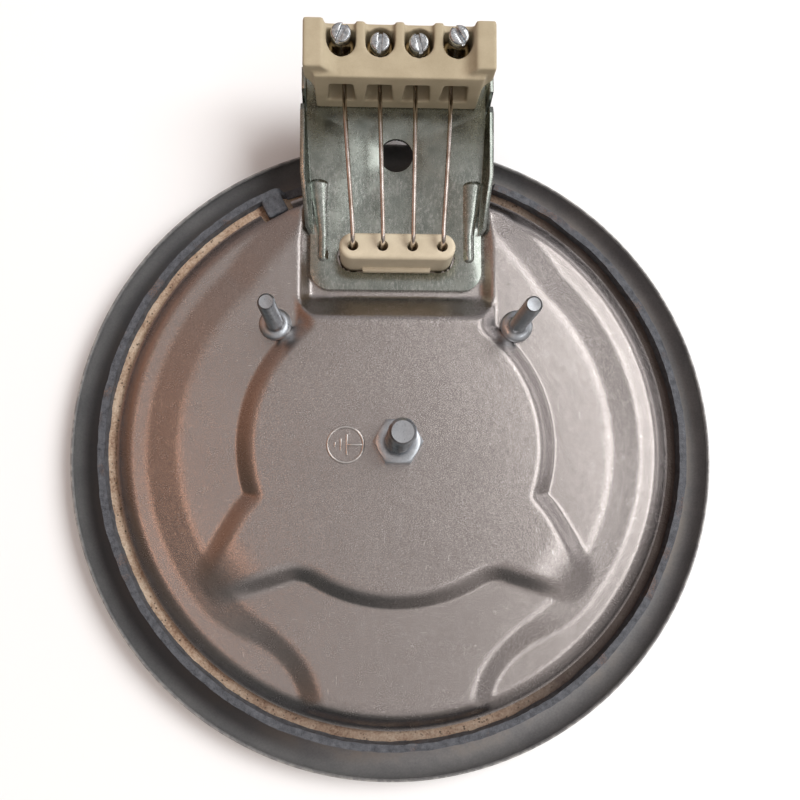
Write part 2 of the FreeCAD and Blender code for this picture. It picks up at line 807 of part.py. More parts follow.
# Ceramic terminal block with four wells, drawn flat and then tilted with the bracket
def make_block():
    base = bracket_top_z
    top = base + block_height
    front = run_y(block_front_run)
    back = front + block_depth
    core = box(-block_half_width, block_half_width, front, back, base, top)
    wings = []
    for side in (-1, 1):
        inner = side * (wing_half_width - wing_thickness)
        outer = side * wing_half_width
        hip = side * block_half_width
        outline = [
            (inner, top - 1.0),
            (inner, top + wing_rise),
            (outer, top + wing_rise),
            (outer, base + wing_under + wing_slant),
            (hip, base + wing_under),
            (hip, top - 1.0),
        ]
        face = polygon_face([point(x, front + wing_setback, z) for x, z in outline])
        wing = face.extrude(point(0, block_depth - wing_setback, 0))
        wings.append(wing)
    well_y = run_y(clamp_run())
    dividers = []
    for i in (-1, 0, 1):
        x = i * terminal_pitch
        half = divider_width / 2.0
        ridge = box(x - half, x + half, well_y - well_radius, back, top - 1.0, top + divider_rise)
        dividers.append(ridge)
    block = core.multiFuse(wings + dividers).removeSplitter()
    back_wall = back - well_y - (screw_head_diameter / 2.0 + 0.3)
    cuts = []
    floor = base + mouth_floor
    for x in terminal_x:
        well = cylinder(well_radius, x, well_y, floor, top + 5.0)
        rear = box(x - well_radius, x + well_radius, well_y, back - back_wall, floor, top + 5.0)
        half = mouth_width / 2.0
        mouth = box(x - half, x + half, front - 1.0, back + 1.0, floor, floor + mouth_height)
        long_edges = [edge for edge in mouth.Edges if abs(edge.tangentAt(edge.FirstParameter).y) > 0.99]
        mouth = mouth.makeFillet(mouth_round, long_edges)
        cuts.extend([well.common(box(x - 9, x + 9, 0, back - back_wall, 0, top + 9)), rear, mouth])
    block = block.cut(cuts)
    return tilted(block)


# Clamp: a folded cage whose thick head takes the screw
def make_clamp(index):
    x = terminal_x[index]
    half = clamp_width / 2.0
    y0 = run_y(clamp_run()) - clamp_depth / 2.0
    floor = bracket_top_z + mouth_floor + clamp_seat
    roof = floor + mouth_height - 0.6
    cage = box(x - half, x + half, y0, y0 + clamp_depth, floor, roof + clamp_head)
    corners = [(x + i * half, y0 + j * clamp_depth) for i in (-1, 1) for j in (0, 1)]
    cage = cage.makeFillet(clamp_corner, upright_edges(cage, corners))
    throat = box(x - half + clamp_wall, x + half - clamp_wall, y0 - 1.0, y0 + clamp_depth + 1.0,
                 floor + clamp_wall, roof)
    bore = cylinder(screw_diameter / 2.0 + thread_clearance, x, run_y(clamp_run()), roof - 1.0,
                    roof + clamp_head + 1.0)
    return tilted(cage.cut([throat, bore]))


def make_screw(index):
    """A slotted clamp screw; the outer two stand further out than the inner two."""
    x = terminal_x[index]
    y = run_y(clamp_run())
    lift = screw_lift if index in (0, 3) else 0.0
    roof = bracket_top_z + mouth_floor + clamp_seat + mouth_height - 0.6
    head_z = roof + clamp_head + 1.3 + lift
    tip = roof - 0.6 + lift
    shank = screw_diameter / 2.0
    head = screw_head_diameter / 2.0
    screw = turned([
        (0, tip),
        (shank - 0.5, tip),
        (shank, tip + 0.5),
        (shank, head_z),
        (head, head_z),
        (head, head_z + screw_head_height - 0.3),
        (head - 0.3, head_z + screw_head_height),
        (0, head_z + screw_head_height),
    ])
    notch = box(-head - 1.0, head + 1.0, -screw_slot_width / 2.0, screw_slot_width / 2.0,
                head_z + screw_head_height - screw_slot_depth, head_z + screw_head_height + 1.0)
    notch.rotate(point(0, 0, 0), UP, 68.0 + 17.0 * index)
    screw = screw.cut(notch)
    screw.translate(point(x, y, 0))
    return tilted(screw)


def main():
    cast = make_cast_plate()
    coils = [make_coil(radius) for radius in coil_radii]
    leads = [make_lead(i) for i in range(4)]
    parts = {
        "cast_iron_plate": cast,
        "trim_ring": make_trim_ring(),
        "embedding_compound": make_bed(cast, coils, leads),
        "inner_heating_coil": coils[0],
        "middle_heating_coil": coils[1],
        "outer_heating_coil": coils[2],
        "cover_plate": make_cover_plate(),
        "centre_stud": make_centre_stud(),
        "centre_nut": make_centre_nut(),
        "left_side_stud": make_side_stud(-1),
        "right_side_stud": make_side_stud(1),
        "terminal_bracket": make_bracket(),
        "lead_bush": make_bush(),
        "terminal_block": make_block(),
    }
    for i in range(4):
        parts["lead_wire_%d" % (i + 1)] = leads[i]
        parts["clamp_%d" % (i + 1)] = make_clamp(i)
        parts["clamp_screw_%d" % (i + 1)] = make_screw(i)
    os.makedirs("parts", exist_ok=True)
    for name, shape in parts.items():
        shape.exportStep("parts/%s.step" % name)
        solids = len(shape.Solids)
        print("%-22s solids %d valid %s volume %.0f" % (name, solids, shape.isValid(), shape.Volume))


main()
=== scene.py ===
# %% [markdown]
# A solid hotplate, lying on its cooking face
#
# The object is a cast-iron plate for an electric hob, seen from the side that a cook never sees. A
# pressed steel cover closes the plate, a rolled trim ring stands round it, and a zinc-plated
# bracket carries a ceramic terminal block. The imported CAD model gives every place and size, so the
# lesson only adds shape and finish.

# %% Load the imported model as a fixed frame
import math

import bpy
from mathutils import Matrix, Vector, noise
from mathutils.kdtree import KDTree


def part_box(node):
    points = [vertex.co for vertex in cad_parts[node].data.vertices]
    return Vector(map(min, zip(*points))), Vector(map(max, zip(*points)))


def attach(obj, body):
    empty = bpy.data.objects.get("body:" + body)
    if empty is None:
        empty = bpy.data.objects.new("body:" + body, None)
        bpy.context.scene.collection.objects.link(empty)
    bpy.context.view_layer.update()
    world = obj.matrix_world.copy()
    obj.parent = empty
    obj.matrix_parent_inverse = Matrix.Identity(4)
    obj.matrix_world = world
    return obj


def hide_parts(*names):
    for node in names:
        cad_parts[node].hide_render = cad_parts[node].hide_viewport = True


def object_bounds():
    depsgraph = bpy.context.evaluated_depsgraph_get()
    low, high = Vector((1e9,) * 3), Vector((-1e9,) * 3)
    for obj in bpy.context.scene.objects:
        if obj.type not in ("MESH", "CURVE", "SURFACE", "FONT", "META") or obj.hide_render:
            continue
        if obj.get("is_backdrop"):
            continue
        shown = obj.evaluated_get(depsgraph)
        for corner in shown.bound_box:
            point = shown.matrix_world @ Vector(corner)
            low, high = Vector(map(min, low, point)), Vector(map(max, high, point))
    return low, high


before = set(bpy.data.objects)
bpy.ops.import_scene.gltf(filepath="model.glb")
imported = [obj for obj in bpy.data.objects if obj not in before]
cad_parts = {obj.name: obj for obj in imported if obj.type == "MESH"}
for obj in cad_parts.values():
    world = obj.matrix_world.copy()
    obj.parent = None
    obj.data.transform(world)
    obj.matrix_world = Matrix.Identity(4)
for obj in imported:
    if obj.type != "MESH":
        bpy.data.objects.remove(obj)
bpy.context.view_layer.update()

MM = 0.001

# %% [markdown]
# The camera
#
# The picture was taken from close by, about 20 cm over the plate, so its perspective is strong.
# The camera's place and its two leaning angles come from fitting the plate's round edges and
# studs. The lens is as wide as the picture needs, and the shift is small.

# %% Place the camera
camera_place = Vector((-8.8, -18.2, 206.8)) * MM
camera_right = Vector((0.99934744, 0.0, 0.03612046))
camera_down = Vector((0.00409522, -0.99355208, -0.11330264))
camera_ahead = camera_right.cross(camera_down)
lens_mm, sensor_mm = 35.96, 36.0
shift_across, shift_up = 0.015, 0.0386
nearest = 5 * MM

lens = bpy.data.cameras.new("photo_camera")
lens.sensor_width = sensor_mm
lens.lens = lens_mm
lens.shift_x, lens.shift_y = shift_across, shift_up
lens.clip_start = nearest
camera = bpy.data.objects.new("photo_camera", lens)
bpy.context.scene.collection.objects.link(camera)
turn = Matrix((camera_right, -camera_down, -camera_ahead)).transposed().to_4x4()
camera.matrix_world = Matrix.Translation(camera_place) @ turn
bpy.context.scene.camera = camera
print("camera is", round(camera_place.length / MM), "mm from the cooking face's centre")

# %% [markdown]
# Small helpers for modelling as by hand
#
# Each piece starts from a primitive and is shaped with edit-mode operators. An operator works on
# all that is selected, so the helpers below first clear the selection, and they select edges and
# faces by where they are.

# %% Helpers for objects and edit mode
MERGE_GAP = 0.01 * MM


def take(obj):
    """Make this the only selected object and the active one."""
    bpy.ops.object.select_all(action="DESELECT")
    obj.select_set(True)
    bpy.context.view_layer.objects.active = obj
    return obj


def settle(obj):
    """Put the object's place, turn and scale into its mesh."""
    take(obj)
    bpy.ops.object.transform_apply(location=True, rotation=True, scale=True)
    return obj


def apply_modifier(obj, kind, **settings):
    modifier = obj.modifiers.new(kind.title(), kind)
    for name, value in settings.items():
        setattr(modifier, name, value)
    take(obj)
    bpy.ops.object.modifier_apply(modifier=modifier.name)
    return obj


def smooth(obj, degrees=40.0):
    take(obj)
    bpy.ops.object.shade_smooth_by_angle(angle=math.radians(degrees))
    return obj


def joined(parts, name):
    """Join these pieces into the first, and name it."""
    take(parts[0])
    for part in parts[1:]:
        part.select_set(True)
    bpy.ops.object.join()
    parts[0].name = name
    return parts[0]


def finish(obj, material, slot, *nodes):
    """Give a piece its finish, let it ride on the body and hide the CAD nodes it stands for."""
    obj.data.materials.clear()
    obj.data.materials.append(material)
    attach(obj, "root")
    if nodes:
        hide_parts(*nodes)
    print("made", obj.name, "with", len(obj.data.polygons), "faces")
    return obj


def polar(radius, degrees):
    angle = math.radians(degrees)
    return radius * math.cos(angle), radius * math.sin(angle)


def share_of(value):
    """The value, held between 0 and 1."""
    return max(0.0, min(1.0, value))


# %% [markdown]
# Round pieces from a profile
#
# Ring, plate and studs are turned or rolled in reality, so they are made by drawing one half of
# the section and spinning it about the upright axis. The section is drawn vertex by vertex with
# extrude, from a plane that is first merged to a point. Where noise roughens a piece later, the
# section's long runs get extra points first.

# %% Draw a section and spin it
def draw_section(name, corners):
    """A chain of edges in the XZ plane through (radius, height) corners in millimetres."""
    bpy.ops.object.select_all(action="DESELECT")
    bpy.ops.mesh.primitive_plane_add(size=MM)
    obj = bpy.context.object
    obj.name = name
    bpy.ops.object.mode_set(mode="EDIT")
    bpy.ops.mesh.select_mode(type="VERT")
    bpy.ops.mesh.select_all(action="SELECT")
    bpy.ops.mesh.merge(type="CENTER")
    here = (0.0, 0.0)
    for count, (radius, height) in enumerate(corners):
        step = ((radius - here[0]) * MM, 0.0, (height - here[1]) * MM)
        if count:
            bpy.ops.mesh.extrude_region_move(TRANSFORM_OT_translate={"value": step})
        else:
            bpy.ops.transform.translate(value=step)
        here = (radius, height)
    bpy.ops.object.mode_set(mode="OBJECT")
    return obj


def spin_round(obj, steps):
    """Spin the section a full turn about Z, close its seam and point its faces outwards."""
    take(obj)
    bpy.ops.object.mode_set(mode="EDIT")
    bpy.ops.mesh.select_all(action="SELECT")
    bpy.ops.mesh.spin(steps=steps, angle=2 * math.pi, center=(0, 0, 0), axis=(0, 0, 1))
    bpy.ops.mesh.select_all(action="SELECT")
    bpy.ops.mesh.remove_doubles(threshold=MERGE_GAP)
    bpy.ops.mesh.normals_make_consistent(inside=False)
    bpy.ops.object.mode_set(mode="OBJECT")
    return obj


def refine_section(corners, longest):
    """Add points on a section's long runs, so that none is longer than this."""
    fine = [corners[0]]
    for start, end in zip(corners, corners[1:]):
        parts = max(1, math.ceil(math.dist(start, end) / longest))
        for k in range(1, parts + 1):
            share = k / parts
            fine.append((start[0] + (end[0] - start[0]) * share,
                         start[1] + (end[1] - start[1]) * share))
    return fine


# %% [markdown]
# Shader sums as Python
#
# A finish is a net of small nodes. The class below wraps one output socket, so that a sum such as
# `1 - mask * 0.4` adds its own Math nodes. Every other node comes from one method that takes the
# node's type, its settings and what goes into its sockets.

# %% A socket that can be used in sums, and a finish that holds the nodes
class Value:
    def __init__(self, finish, socket):
        self.finish = finish
        self.socket = socket

    def join(self, operation, first, second):
        settings = {"operation": operation}
        node = self.finish.node("ShaderNodeMath", settings, {0: first, 1: second})
        return Value(self.finish, node.outputs[0])

    def __add__(self, other):
        return self.join("ADD", self, other)

    __radd__ = __add__

    def __sub__(self, other):
        return self.join("SUBTRACT", self, other)

    def __rsub__(self, other):
        return self.join("SUBTRACT", other, self)

    def __mul__(self, other):
        return self.join("MULTIPLY", self, other)

    __rmul__ = __mul__

    def __pow__(self, other):
        return self.join("POWER", self, other)

    def most(self, other):
        return self.join("MAXIMUM", self, other)

    def step(self, low, high):
        """0 below low, 1 above high, and a smooth change between."""
        settings = {"interpolation_type": "SMOOTHSTEP"}
        sockets = {0: self, 1: low, 2: high, 3: 0.0, 4: 1.0}
        node = self.finish.node("ShaderNodeMapRange", settings, sockets)
        return Value(self.finish, node.outputs[0])


class Finish:
    def __init__(self, name):
        self.material = bpy.data.materials.new(name)
        self.material.use_nodes = True
        self.tree = self.material.node_tree
        self.shader = self.tree.nodes["Principled BSDF"]
        self.place = Value(self, self.node("ShaderNodeTexCoord").outputs["Object"])

    def node(self, kind, settings=None, sockets=None):
        """One new node: its settings first, then the values or links of its sockets."""
        node = self.tree.nodes.new(kind)
        for name, value in (settings or {}).items():
            if name == "stops":
                for count, (place, colour) in enumerate(value):
                    ramp = node.color_ramp.elements
                    stop = ramp[count] if count < 2 else ramp.new(place)
                    stop.position = place
                    stop.color = (*colour, 1.0)
            else:
                setattr(node, name, value)
        for name, value in (sockets or {}).items():
            if isinstance(value, Value):
                self.tree.links.new(value.socket, node.inputs[name])
            elif value is not None:
                node.inputs[name].default_value = value
        return node

    def stretched(self, scale, turn=0.0):
        """Object coordinates, stretched and turned about Z for a pattern with a direction."""
        rotation = (0.0, 0.0, math.radians(turn))
        sockets = {"Vector": self.place, "Scale": scale, "Rotation": rotation}
        return Value(self, self.node("ShaderNodeMapping", None, sockets).outputs[0])

    def grain(self, size_mm, detail=2.0, rough=0.5, vector=None):
        """Noise from 0 to 1 whose lumps are about this size."""
        sockets = {"Vector": vector or self.place, "Scale": 1.0 / (size_mm * MM),
                   "Detail": detail, "Roughness": rough}
        return Value(self, self.node("ShaderNodeTexNoise", None, sockets).outputs[0])

    def cells(self, size_mm):
        """Distance to the nearest of many scattered points, in cells of this size."""
        sockets = {"Vector": self.place, "Scale": 1.0 / (size_mm * MM)}
        return Value(self, self.node("ShaderNodeTexVoronoi", None, sockets).outputs[0])

    def axis(self, name):
        node = self.node("ShaderNodeSeparateXYZ", None, {0: self.place})
        return Value(self, node.outputs[name])

    def ramp(self, value, *stops):
        node = self.node("ShaderNodeValToRGB", {"stops": stops}, {0: value})
        return Value(self, node.outputs[0])

    def blend(self, share, first, second):
        """Mix two colours."""
        def four(colour):
            return colour if isinstance(colour, Value) else (*colour, 1.0)
        sockets = {0: share, 6: four(first), 7: four(second)}
        node = self.node("ShaderNodeMix", {"data_type": "RGBA"}, sockets)
        return Value(self, node.outputs[2])

    def bumps(self, height, depth_mm, after=None):
        """A normal from a height of 0 to 1 that stands for this depth."""
        sockets = {"Height": height, "Distance": depth_mm * MM, "Strength": 1.0, "Normal": after}
        return Value(self, self.node("ShaderNodeBump", None, sockets).outputs[0])

    def done(self, **sockets):
        """Set or link the shader's own sockets."""
        for name, value in sockets.items():
            socket = self.shader.inputs[name.replace("_", " ")]
            if isinstance(value, Value):
                self.tree.links.new(value.socket, socket)
            elif isinstance(value, tuple):
                socket.default_value = (*value, 1.0)
            else:
                socket.default_value = value
        return self.material


# %% [markdown]
# The finishes
#
# Aluminised steel is a soft grey with a fine speckle and a few bright scratches. Zinc plating is
# greener and cloudy. The cast iron is rough and blue-black, the ceramic is cream with a dry
# surface.

# %% Pressed cover: satin aluminised steel
def cover_finish():
    f = Finish("aluminised_steel")
    speckle = f.grain(0.17, detail=2.0, rough=0.7)
    cloud = f.grain(22.0, detail=3.0)
    smear = f.grain(5.0, detail=4.0, rough=0.6)
    rising = f.grain(0.8, detail=2.0, vector=f.stretched((0.30, 4.5, 1.0), turn=24.0))
    upright = f.grain(1.0, detail=2.0, vector=f.stretched((4.2, 0.3, 1.0), turn=-10.0))
    nicks = f.grain(0.9, detail=1.0, vector=f.stretched((1.0, 3.0, 1.0), turn=55.0))
    scratches = rising.step(0.71, 0.76).most(upright.step(0.72, 0.77)).most(nicks.step(0.76, 0.80))
    spots = speckle.step(0.33, 0.67)
    colour = f.blend(spots, (0.35, 0.325, 0.315), (0.62, 0.585, 0.57))
    dull = (cloud * 0.6 + smear * 0.4).step(0.35, 0.65)
    colour = f.blend(dull * 0.25, colour, (0.36, 0.33, 0.32))
    colour = f.blend(scratches * 0.6, colour, (0.92, 0.91, 0.90))
    rough = 0.21 + 0.12 * (spots - 0.5) + 0.10 * (smear - 0.5) - 0.05 * scratches
    normal = f.bumps(speckle, 0.035, after=f.bumps(f.grain(2.6, detail=3.0), 0.05))
    return f.done(Base_Color=colour, Roughness=rough, Metallic=1.0, Normal=normal)


cover_steel = cover_finish()


# %% Zinc plating on bracket, studs and nut
def zinc_finish(name, dark, light, cloud_size, roughness, worn=False):
    """Cloudy plating; where worn, it is also scratched, stained and brighter in speckled patches
    towards its foot.
    """
    f = Finish(name)
    cloud = f.grain(cloud_size, detail=4.0, rough=0.6)
    fine = f.grain(0.35, detail=3.0, rough=0.6)
    specks = f.cells(1.1).step(0.10, 0.04) * f.grain(2.2).step(0.50, 0.62)
    colour = f.ramp(cloud * 0.7 + fine * 0.3, (0.32, dark), (0.68, light))
    colour = f.blend(specks * 0.7, colour, (0.16, 0.15, 0.13))
    if worn:
        lower = f.axis("Y").step(74 * MM, 64 * MM) * f.grain(9.0).step(0.25, 0.55)
        spots = f.grain(0.5, detail=4.0, rough=0.75, vector=f.stretched((1.0, 0.35, 1.0)))
        lines = f.grain(0.5, detail=2.0, vector=f.stretched((2.6, 0.22, 1.0), turn=4.0))
        bright = (lower * spots.step(0.50, 0.60) * 0.55).most(lines.step(0.62, 0.70) * 0.45)
        stains = f.grain(0.7, detail=4.0, rough=0.75).step(0.60, 0.68)
        stains = stains * f.grain(6.0).step(0.45, 0.60)
        colour = f.blend(bright, colour, (0.66, 0.68, 0.66))
        colour = f.blend(stains * 0.6, colour, (0.13, 0.13, 0.11))
    rough = roughness + 0.14 * (cloud - 0.5) + 0.10 * (fine - 0.5) + 0.2 * specks
    normal = f.bumps(fine, 0.010, after=f.bumps(cloud, 0.04))
    return f.done(Base_Color=colour, Roughness=rough, Metallic=1.0, Normal=normal)


bracket_zinc = zinc_finish("bracket_zinc", (0.24, 0.275, 0.25), (0.43, 0.465, 0.43), 5.0, 0.27,
                           worn=True)
stud_zinc = zinc_finish("stud_zinc", (0.42, 0.46, 0.50), (0.66, 0.70, 0.74), 2.5, 0.30)
# Brighter copy of the cover's steel, a painted highlight on the earth sign's beads.
sign_highlight_steel = zinc_finish("sign_highlight_steel", (0.66, 0.64, 0.62), (0.86, 0.84, 0.82), 1.5, 0.20)
# Near-black copy of the cover's steel, used as a painted shadow line round the earth sign's foot.
sign_shadow_line = zinc_finish("sign_shadow_line", (0.06, 0.055, 0.05), (0.12, 0.11, 0.10), 1.5, 0.45)
screw_steel = zinc_finish("screw_steel", (0.30, 0.34, 0.37), (0.92, 0.95, 0.97), 1.0, 0.16)


# %% Trim ring: dark rolled steel, scuffed at its hem, with painted shade on its left side
def trim_finish():
    f = Finish("trim_steel")
    x, y = f.axis("X"), f.axis("Y")
    radius = (x * x + y * y) ** 0.5
    fine = f.grain(0.5, detail=4.0, rough=0.65)
    cloud = f.grain(9.0, detail=4.0, rough=0.6)
    edge = radius.step(79.0 * MM, 79.9 * MM) * f.grain(2.0, detail=4.0).step(0.42, 0.62)
    brown = radius.step(78.0 * MM, 75.0 * MM) * cloud.step(0.40, 0.65)
    colour = f.ramp(cloud * 0.5 + fine * 0.5,
                    (0.3, (0.17, 0.17, 0.175)), (0.7, (0.29, 0.285, 0.28)))
    colour = f.blend(brown * 0.5, colour, (0.30, 0.25, 0.20))
    # Painted shade: the ring's left side next to the rim is darkened where the rim's shadow falls
    # from the light on the right.
    rim_shadow_paint = x.step(5 * MM, -45 * MM) * radius.step(79.2 * MM, 76.2 * MM)
    colour = f.blend(rim_shadow_paint * 0.8, colour, (0.020, 0.020, 0.024))
    colour = f.blend(edge * 0.7, colour, (0.46, 0.45, 0.43))
    rough = 0.52 + 0.18 * (fine - 0.5) + 0.12 * (cloud - 0.5) - 0.12 * edge
    normal = f.bumps(fine, 0.015, after=f.bumps(cloud, 0.10))
    return f.done(Base_Color=colour, Roughness=rough, Metallic=0.35, Normal=normal)


trim_steel = trim_finish()


# %% Cast iron: rough grains, blue-black, a little rust
def iron_finish():
    f = Finish("cast_iron")
    lumps = f.grain(1.4, detail=5.0, rough=0.65)
    fine = f.grain(0.25, detail=3.0, rough=0.6)
    rust = f.grain(6.0, detail=4.0).step(0.56, 0.70) * fine.step(0.45, 0.60)
    colour = f.ramp(lumps * 0.6 + fine * 0.4,
                    (0.30, (0.030, 0.033, 0.040)), (0.72, (0.17, 0.18, 0.20)))
    colour = f.blend(rust * 0.6, colour, (0.22, 0.12, 0.07))
    rough = 0.62 + 0.2 * (fine - 0.5)
    normal = f.bumps(fine, 0.05, after=f.bumps(lumps, 0.25))
    return f.done(Base_Color=colour, Roughness=rough, Metallic=0.25, Normal=normal)


cast_iron = iron_finish()


# %% Embedding compound: tan, baked, with dark specks and painted shade on the right
def compound_finish():
    f = Finish("embedding_compound")
    cloud = f.grain(7.0, detail=4.0, rough=0.6)
    fine = f.grain(0.5, detail=4.0, rough=0.65)
    specks = f.cells(0.9).step(0.32, 0.20) * f.grain(1.6).step(0.45, 0.58)
    colour = f.ramp(cloud * 0.5 + fine * 0.5, (0.33, (0.20, 0.11, 0.07)),
                    (0.48, (0.44, 0.31, 0.22)), (0.66, (0.64, 0.52, 0.40)))
    # Painted shade on the right, where the rim shades the compound from the light; the same mask
    # also darkens it a little towards the bottom.
    low_side = f.axis("Y").step(-45 * MM, -68 * MM)
    painted_shade = f.axis("X").step(5 * MM, 45 * MM).most(low_side * 0.45)
    colour = f.blend(painted_shade * 0.93, colour, (0.045, 0.038, 0.038))
    colour = f.blend(specks * 0.85, colour, (0.05, 0.04, 0.03))
    normal = f.bumps(fine, 0.30, after=f.bumps(cloud, 0.5))
    return f.done(Base_Color=colour, Roughness=0.9, Normal=normal)


compound_tan = compound_finish()


# %% Ceramics: cream bush, darker steatite block
def ceramic_finish(name, dark, light, roughness):
    f = Finish(name)
    cloud = f.grain(6.0, detail=4.0, rough=0.6)
    fine = f.grain(0.3, detail=3.0, rough=0.6)
    specks = f.cells(2.4).step(0.07, 0.03) * f.grain(3.0).step(0.52, 0.62)
    colour = f.ramp(cloud * 0.7 + fine * 0.3, (0.30, dark), (0.70, light))
    colour = f.blend(specks * 0.6, colour, (0.20, 0.15, 0.10))
    normal = f.bumps(fine, 0.012, after=f.bumps(cloud, 0.05))
    rough = roughness + 0.12 * (fine - 0.5)
    return f.done(Base_Color=colour, Roughness=rough, Normal=normal)


bush_ceramic = ceramic_finish("bush_ceramic", (0.50, 0.43, 0.31), (0.63, 0.55, 0.41), 0.50)
block_ceramic = ceramic_finish("block_ceramic", (0.36, 0.30, 0.20), (0.46, 0.39, 0.27), 0.60)


# %% Lead wires and clamps
def wire_finish():
    f = Finish("lead_wire")
    band = f.grain(4.0, detail=2.0)
    fine = f.grain(0.3, detail=2.0)
    colour = f.ramp(band * 0.7 + fine * 0.3,
                    (0.35, (0.52, 0.43, 0.37)), (0.65, (0.86, 0.81, 0.77)))
    return f.done(Base_Color=colour, Roughness=0.17 + 0.1 * (fine - 0.5), Metallic=1.0,
                  Normal=f.bumps(fine, 0.006))


def brass_finish():
    f = Finish("clamp_brass")
    cloud = f.grain(2.0, detail=3.0)
    fine = f.grain(0.3, detail=2.0)
    colour = f.ramp(cloud, (0.35, (0.30, 0.20, 0.09)), (0.65, (0.62, 0.47, 0.24)))
    return f.done(Base_Color=colour, Roughness=0.34 + 0.1 * (cloud - 0.5), Metallic=1.0,
                  Normal=f.bumps(fine, 0.01))


def coil_finish():
    f = Finish("coil_wire")
    winding = f.grain(0.8, detail=2.0)
    colour = f.ramp(winding, (0.4, (0.16, 0.14, 0.13)), (0.6, (0.40, 0.36, 0.33)))
    return f.done(Base_Color=colour, Roughness=0.5 + 0.1 * winding, Metallic=1.0,
                  Normal=f.bumps(winding, 0.2))


lead_wire = wire_finish()
clamp_brass = brass_finish()
coil_wire = coil_finish()
print("finishes:", len(bpy.data.materials))

# %% [markdown]
# The trim ring
#
# The ring is one strip of thin steel, gripped in a groove of the plate and rolled up to a hem that
# rests on the hob. Seen from below it is a dark, hollow channel. Its section is drawn once and
# spun.

# %% Spin the trim ring
groove_radius, shoulder_radius, hem_radius = 71.4, 73.7, 80.0
hem_z, groove_z, sheet = 8.0, 2.7, 0.6
curl_x, curl_z = hem_radius - 6.6, groove_z + 6.2
curl_steps = 12

ring_section = [(groove_radius, groove_z), (shoulder_radius, groove_z)]
for k in range(1, curl_steps):
    angle = math.radians(90.0 * k / curl_steps)
    ring_section.append((shoulder_radius + (hem_radius - shoulder_radius) * math.sin(angle) ** 0.9,
                         groove_z + (hem_z - groove_z) * (1.0 - math.cos(angle)) ** 1.1))
ring_section.append((hem_radius, hem_z - 0.35))
inside = [(hem_radius - 0.12, hem_z - 0.06), (hem_radius - 0.45, hem_z - 0.02),
          (hem_radius - 0.75, hem_z - 0.35)]
for r, z in reversed(ring_section[1:-1]):
    inward = Vector((curl_x - r, curl_z - z)).normalized()
    inside.append((r + inward.x * sheet, z + inward.y * sheet))
inside.append((groove_radius, groove_z + sheet))
ring = draw_section("trim_ring_strip", ring_section + inside + [(groove_radius, groove_z)])
spin_round(ring, 256)
smooth(ring, 50)
finish(ring, trim_steel, "trim_steel", "trim_ring")

# %% [markdown]
# The cast plate
#
# Cast iron comes out of sand, so the rim is never sharp or even. The section is spun with many
# steps, and the rim's vertices are then pushed about by smooth noise. Beside the bracket the rim
# is cut lower.

# %% Spin the cast plate and roughen its rim
rim_top, rim_low = 15.1, 10.5
rim_foot, rim_inner = 7.0, 66.0
gap_start, gap_end = 70.0, 114.0
face_and_groove = [(0.0, 1.0), (16.0, 1.0), (17.0, 0.0), (71.0, 0.0), (72.5, 1.5), (72.5, 2.6),
                   (71.3, 2.6), (71.3, 3.4), (72.1, 3.4)]
rim = [(71.1, rim_top), (69.4, rim_top), (68.5, 6.0)]
plate_section = refine_section(face_and_groove, 4.0) + refine_section(rim, 0.42) + [(0.0, 6.0)]
plate = draw_section("cast_plate_body", plate_section)
spin_round(plate, 400)
push_shifts = [(9.3, -1.5, -7.9), (2.1, 6.4, -3.7), (-5.2, 8.8, 4.6)]


def roughen(co, size, depth, seed):
    """A smooth random push: one noise, read at three places for the push's three parts."""
    place = co / (size * MM) + Vector((seed, seed, seed))
    parts = [noise.noise(place + Vector(shift)) for shift in push_shifts]
    return Vector(parts) * depth * MM


def in_gap(co, soft_degrees):
    """How far a place lies within the low stretch of the rim: 0 outside, 1 well inside."""
    angle = math.degrees(math.atan2(co.y, co.x)) % 360
    return share_of(min(angle - gap_start, gap_end - angle) / soft_degrees + 0.5)


for vertex in plate.data.vertices:
    co = vertex.co
    radius = math.hypot(co.x, co.y) / MM
    height = co.z / MM
    if radius < rim_inner or height < rim_foot:
        continue
    if height > rim_low:
        co.z -= in_gap(co, 1.2) * (height - rim_low) * MM
    amount = min(1.0, (height - rim_foot) / 6.0)
    co += roughen(co, 1.6, 0.16 * amount, 3.0) + roughen(co, 6.0, 0.20 * amount, 9.0)
    co.z = min(co.z, rim_top * MM)
smooth(plate, 50)

# %% The locating lug, a block cast inside the rim
bpy.ops.object.select_all(action="DESELECT")
lug_angle, lug_radius, lug_z = 116.6, 67.4, 11.2
lug_size = Vector((5.6, 5.4, 7.6))
lug_place = Vector((*polar(lug_radius, lug_angle), lug_z)) * MM
bpy.ops.mesh.primitive_cube_add(size=1.0, location=lug_place)
lug = bpy.context.object
lug.scale = lug_size * MM
lug.rotation_euler = (0, 0, math.radians(lug_angle))
settle(lug)
apply_modifier(lug, "BEVEL", width=0.6 * MM, segments=3)
apply_modifier(lug, "SUBSURF", levels=2, render_levels=2)
for vertex in lug.data.vertices:
    vertex.co += roughen(vertex.co, 1.5, 0.22, 5.0)
joined([plate, lug], "cast_plate_body")
finish(plate, cast_iron, "cast_iron", "cast_iron_plate")

# %% [markdown]
# The embedding compound
#
# The coils lie in a tan paste of ceramic powder that is pressed in and baked. Only a ring of it
# shows between rim and cover, uneven and speckled.

# %% Spin the visible ring of compound
bed_top = refine_section([(60.0, 12.0), (65.8, 12.7), (69.3, 12.7)], 0.35)
bed_sunk, bed_skin = 2.6, 11.5
bed = draw_section("compound_ring", bed_top + [(68.6, 6.2), (60.0, 6.2), (60.0, 12.0)])
spin_round(bed, 480)
for vertex in bed.data.vertices:
    co = vertex.co
    radius = math.hypot(co.x, co.y) / MM
    if co.z < bed_skin * MM:
        continue
    co.z -= in_gap(co, 2.0) * share_of((radius - 62.0) / 1.5) * bed_sunk * MM
    lift = noise.noise(co / (1.3 * MM)) * 0.16 + noise.noise(co / (5.0 * MM)) * 0.22
    co.z += lift * MM
smooth(bed, 60)
finish(bed, compound_tan, "compound", "embedding_compound")

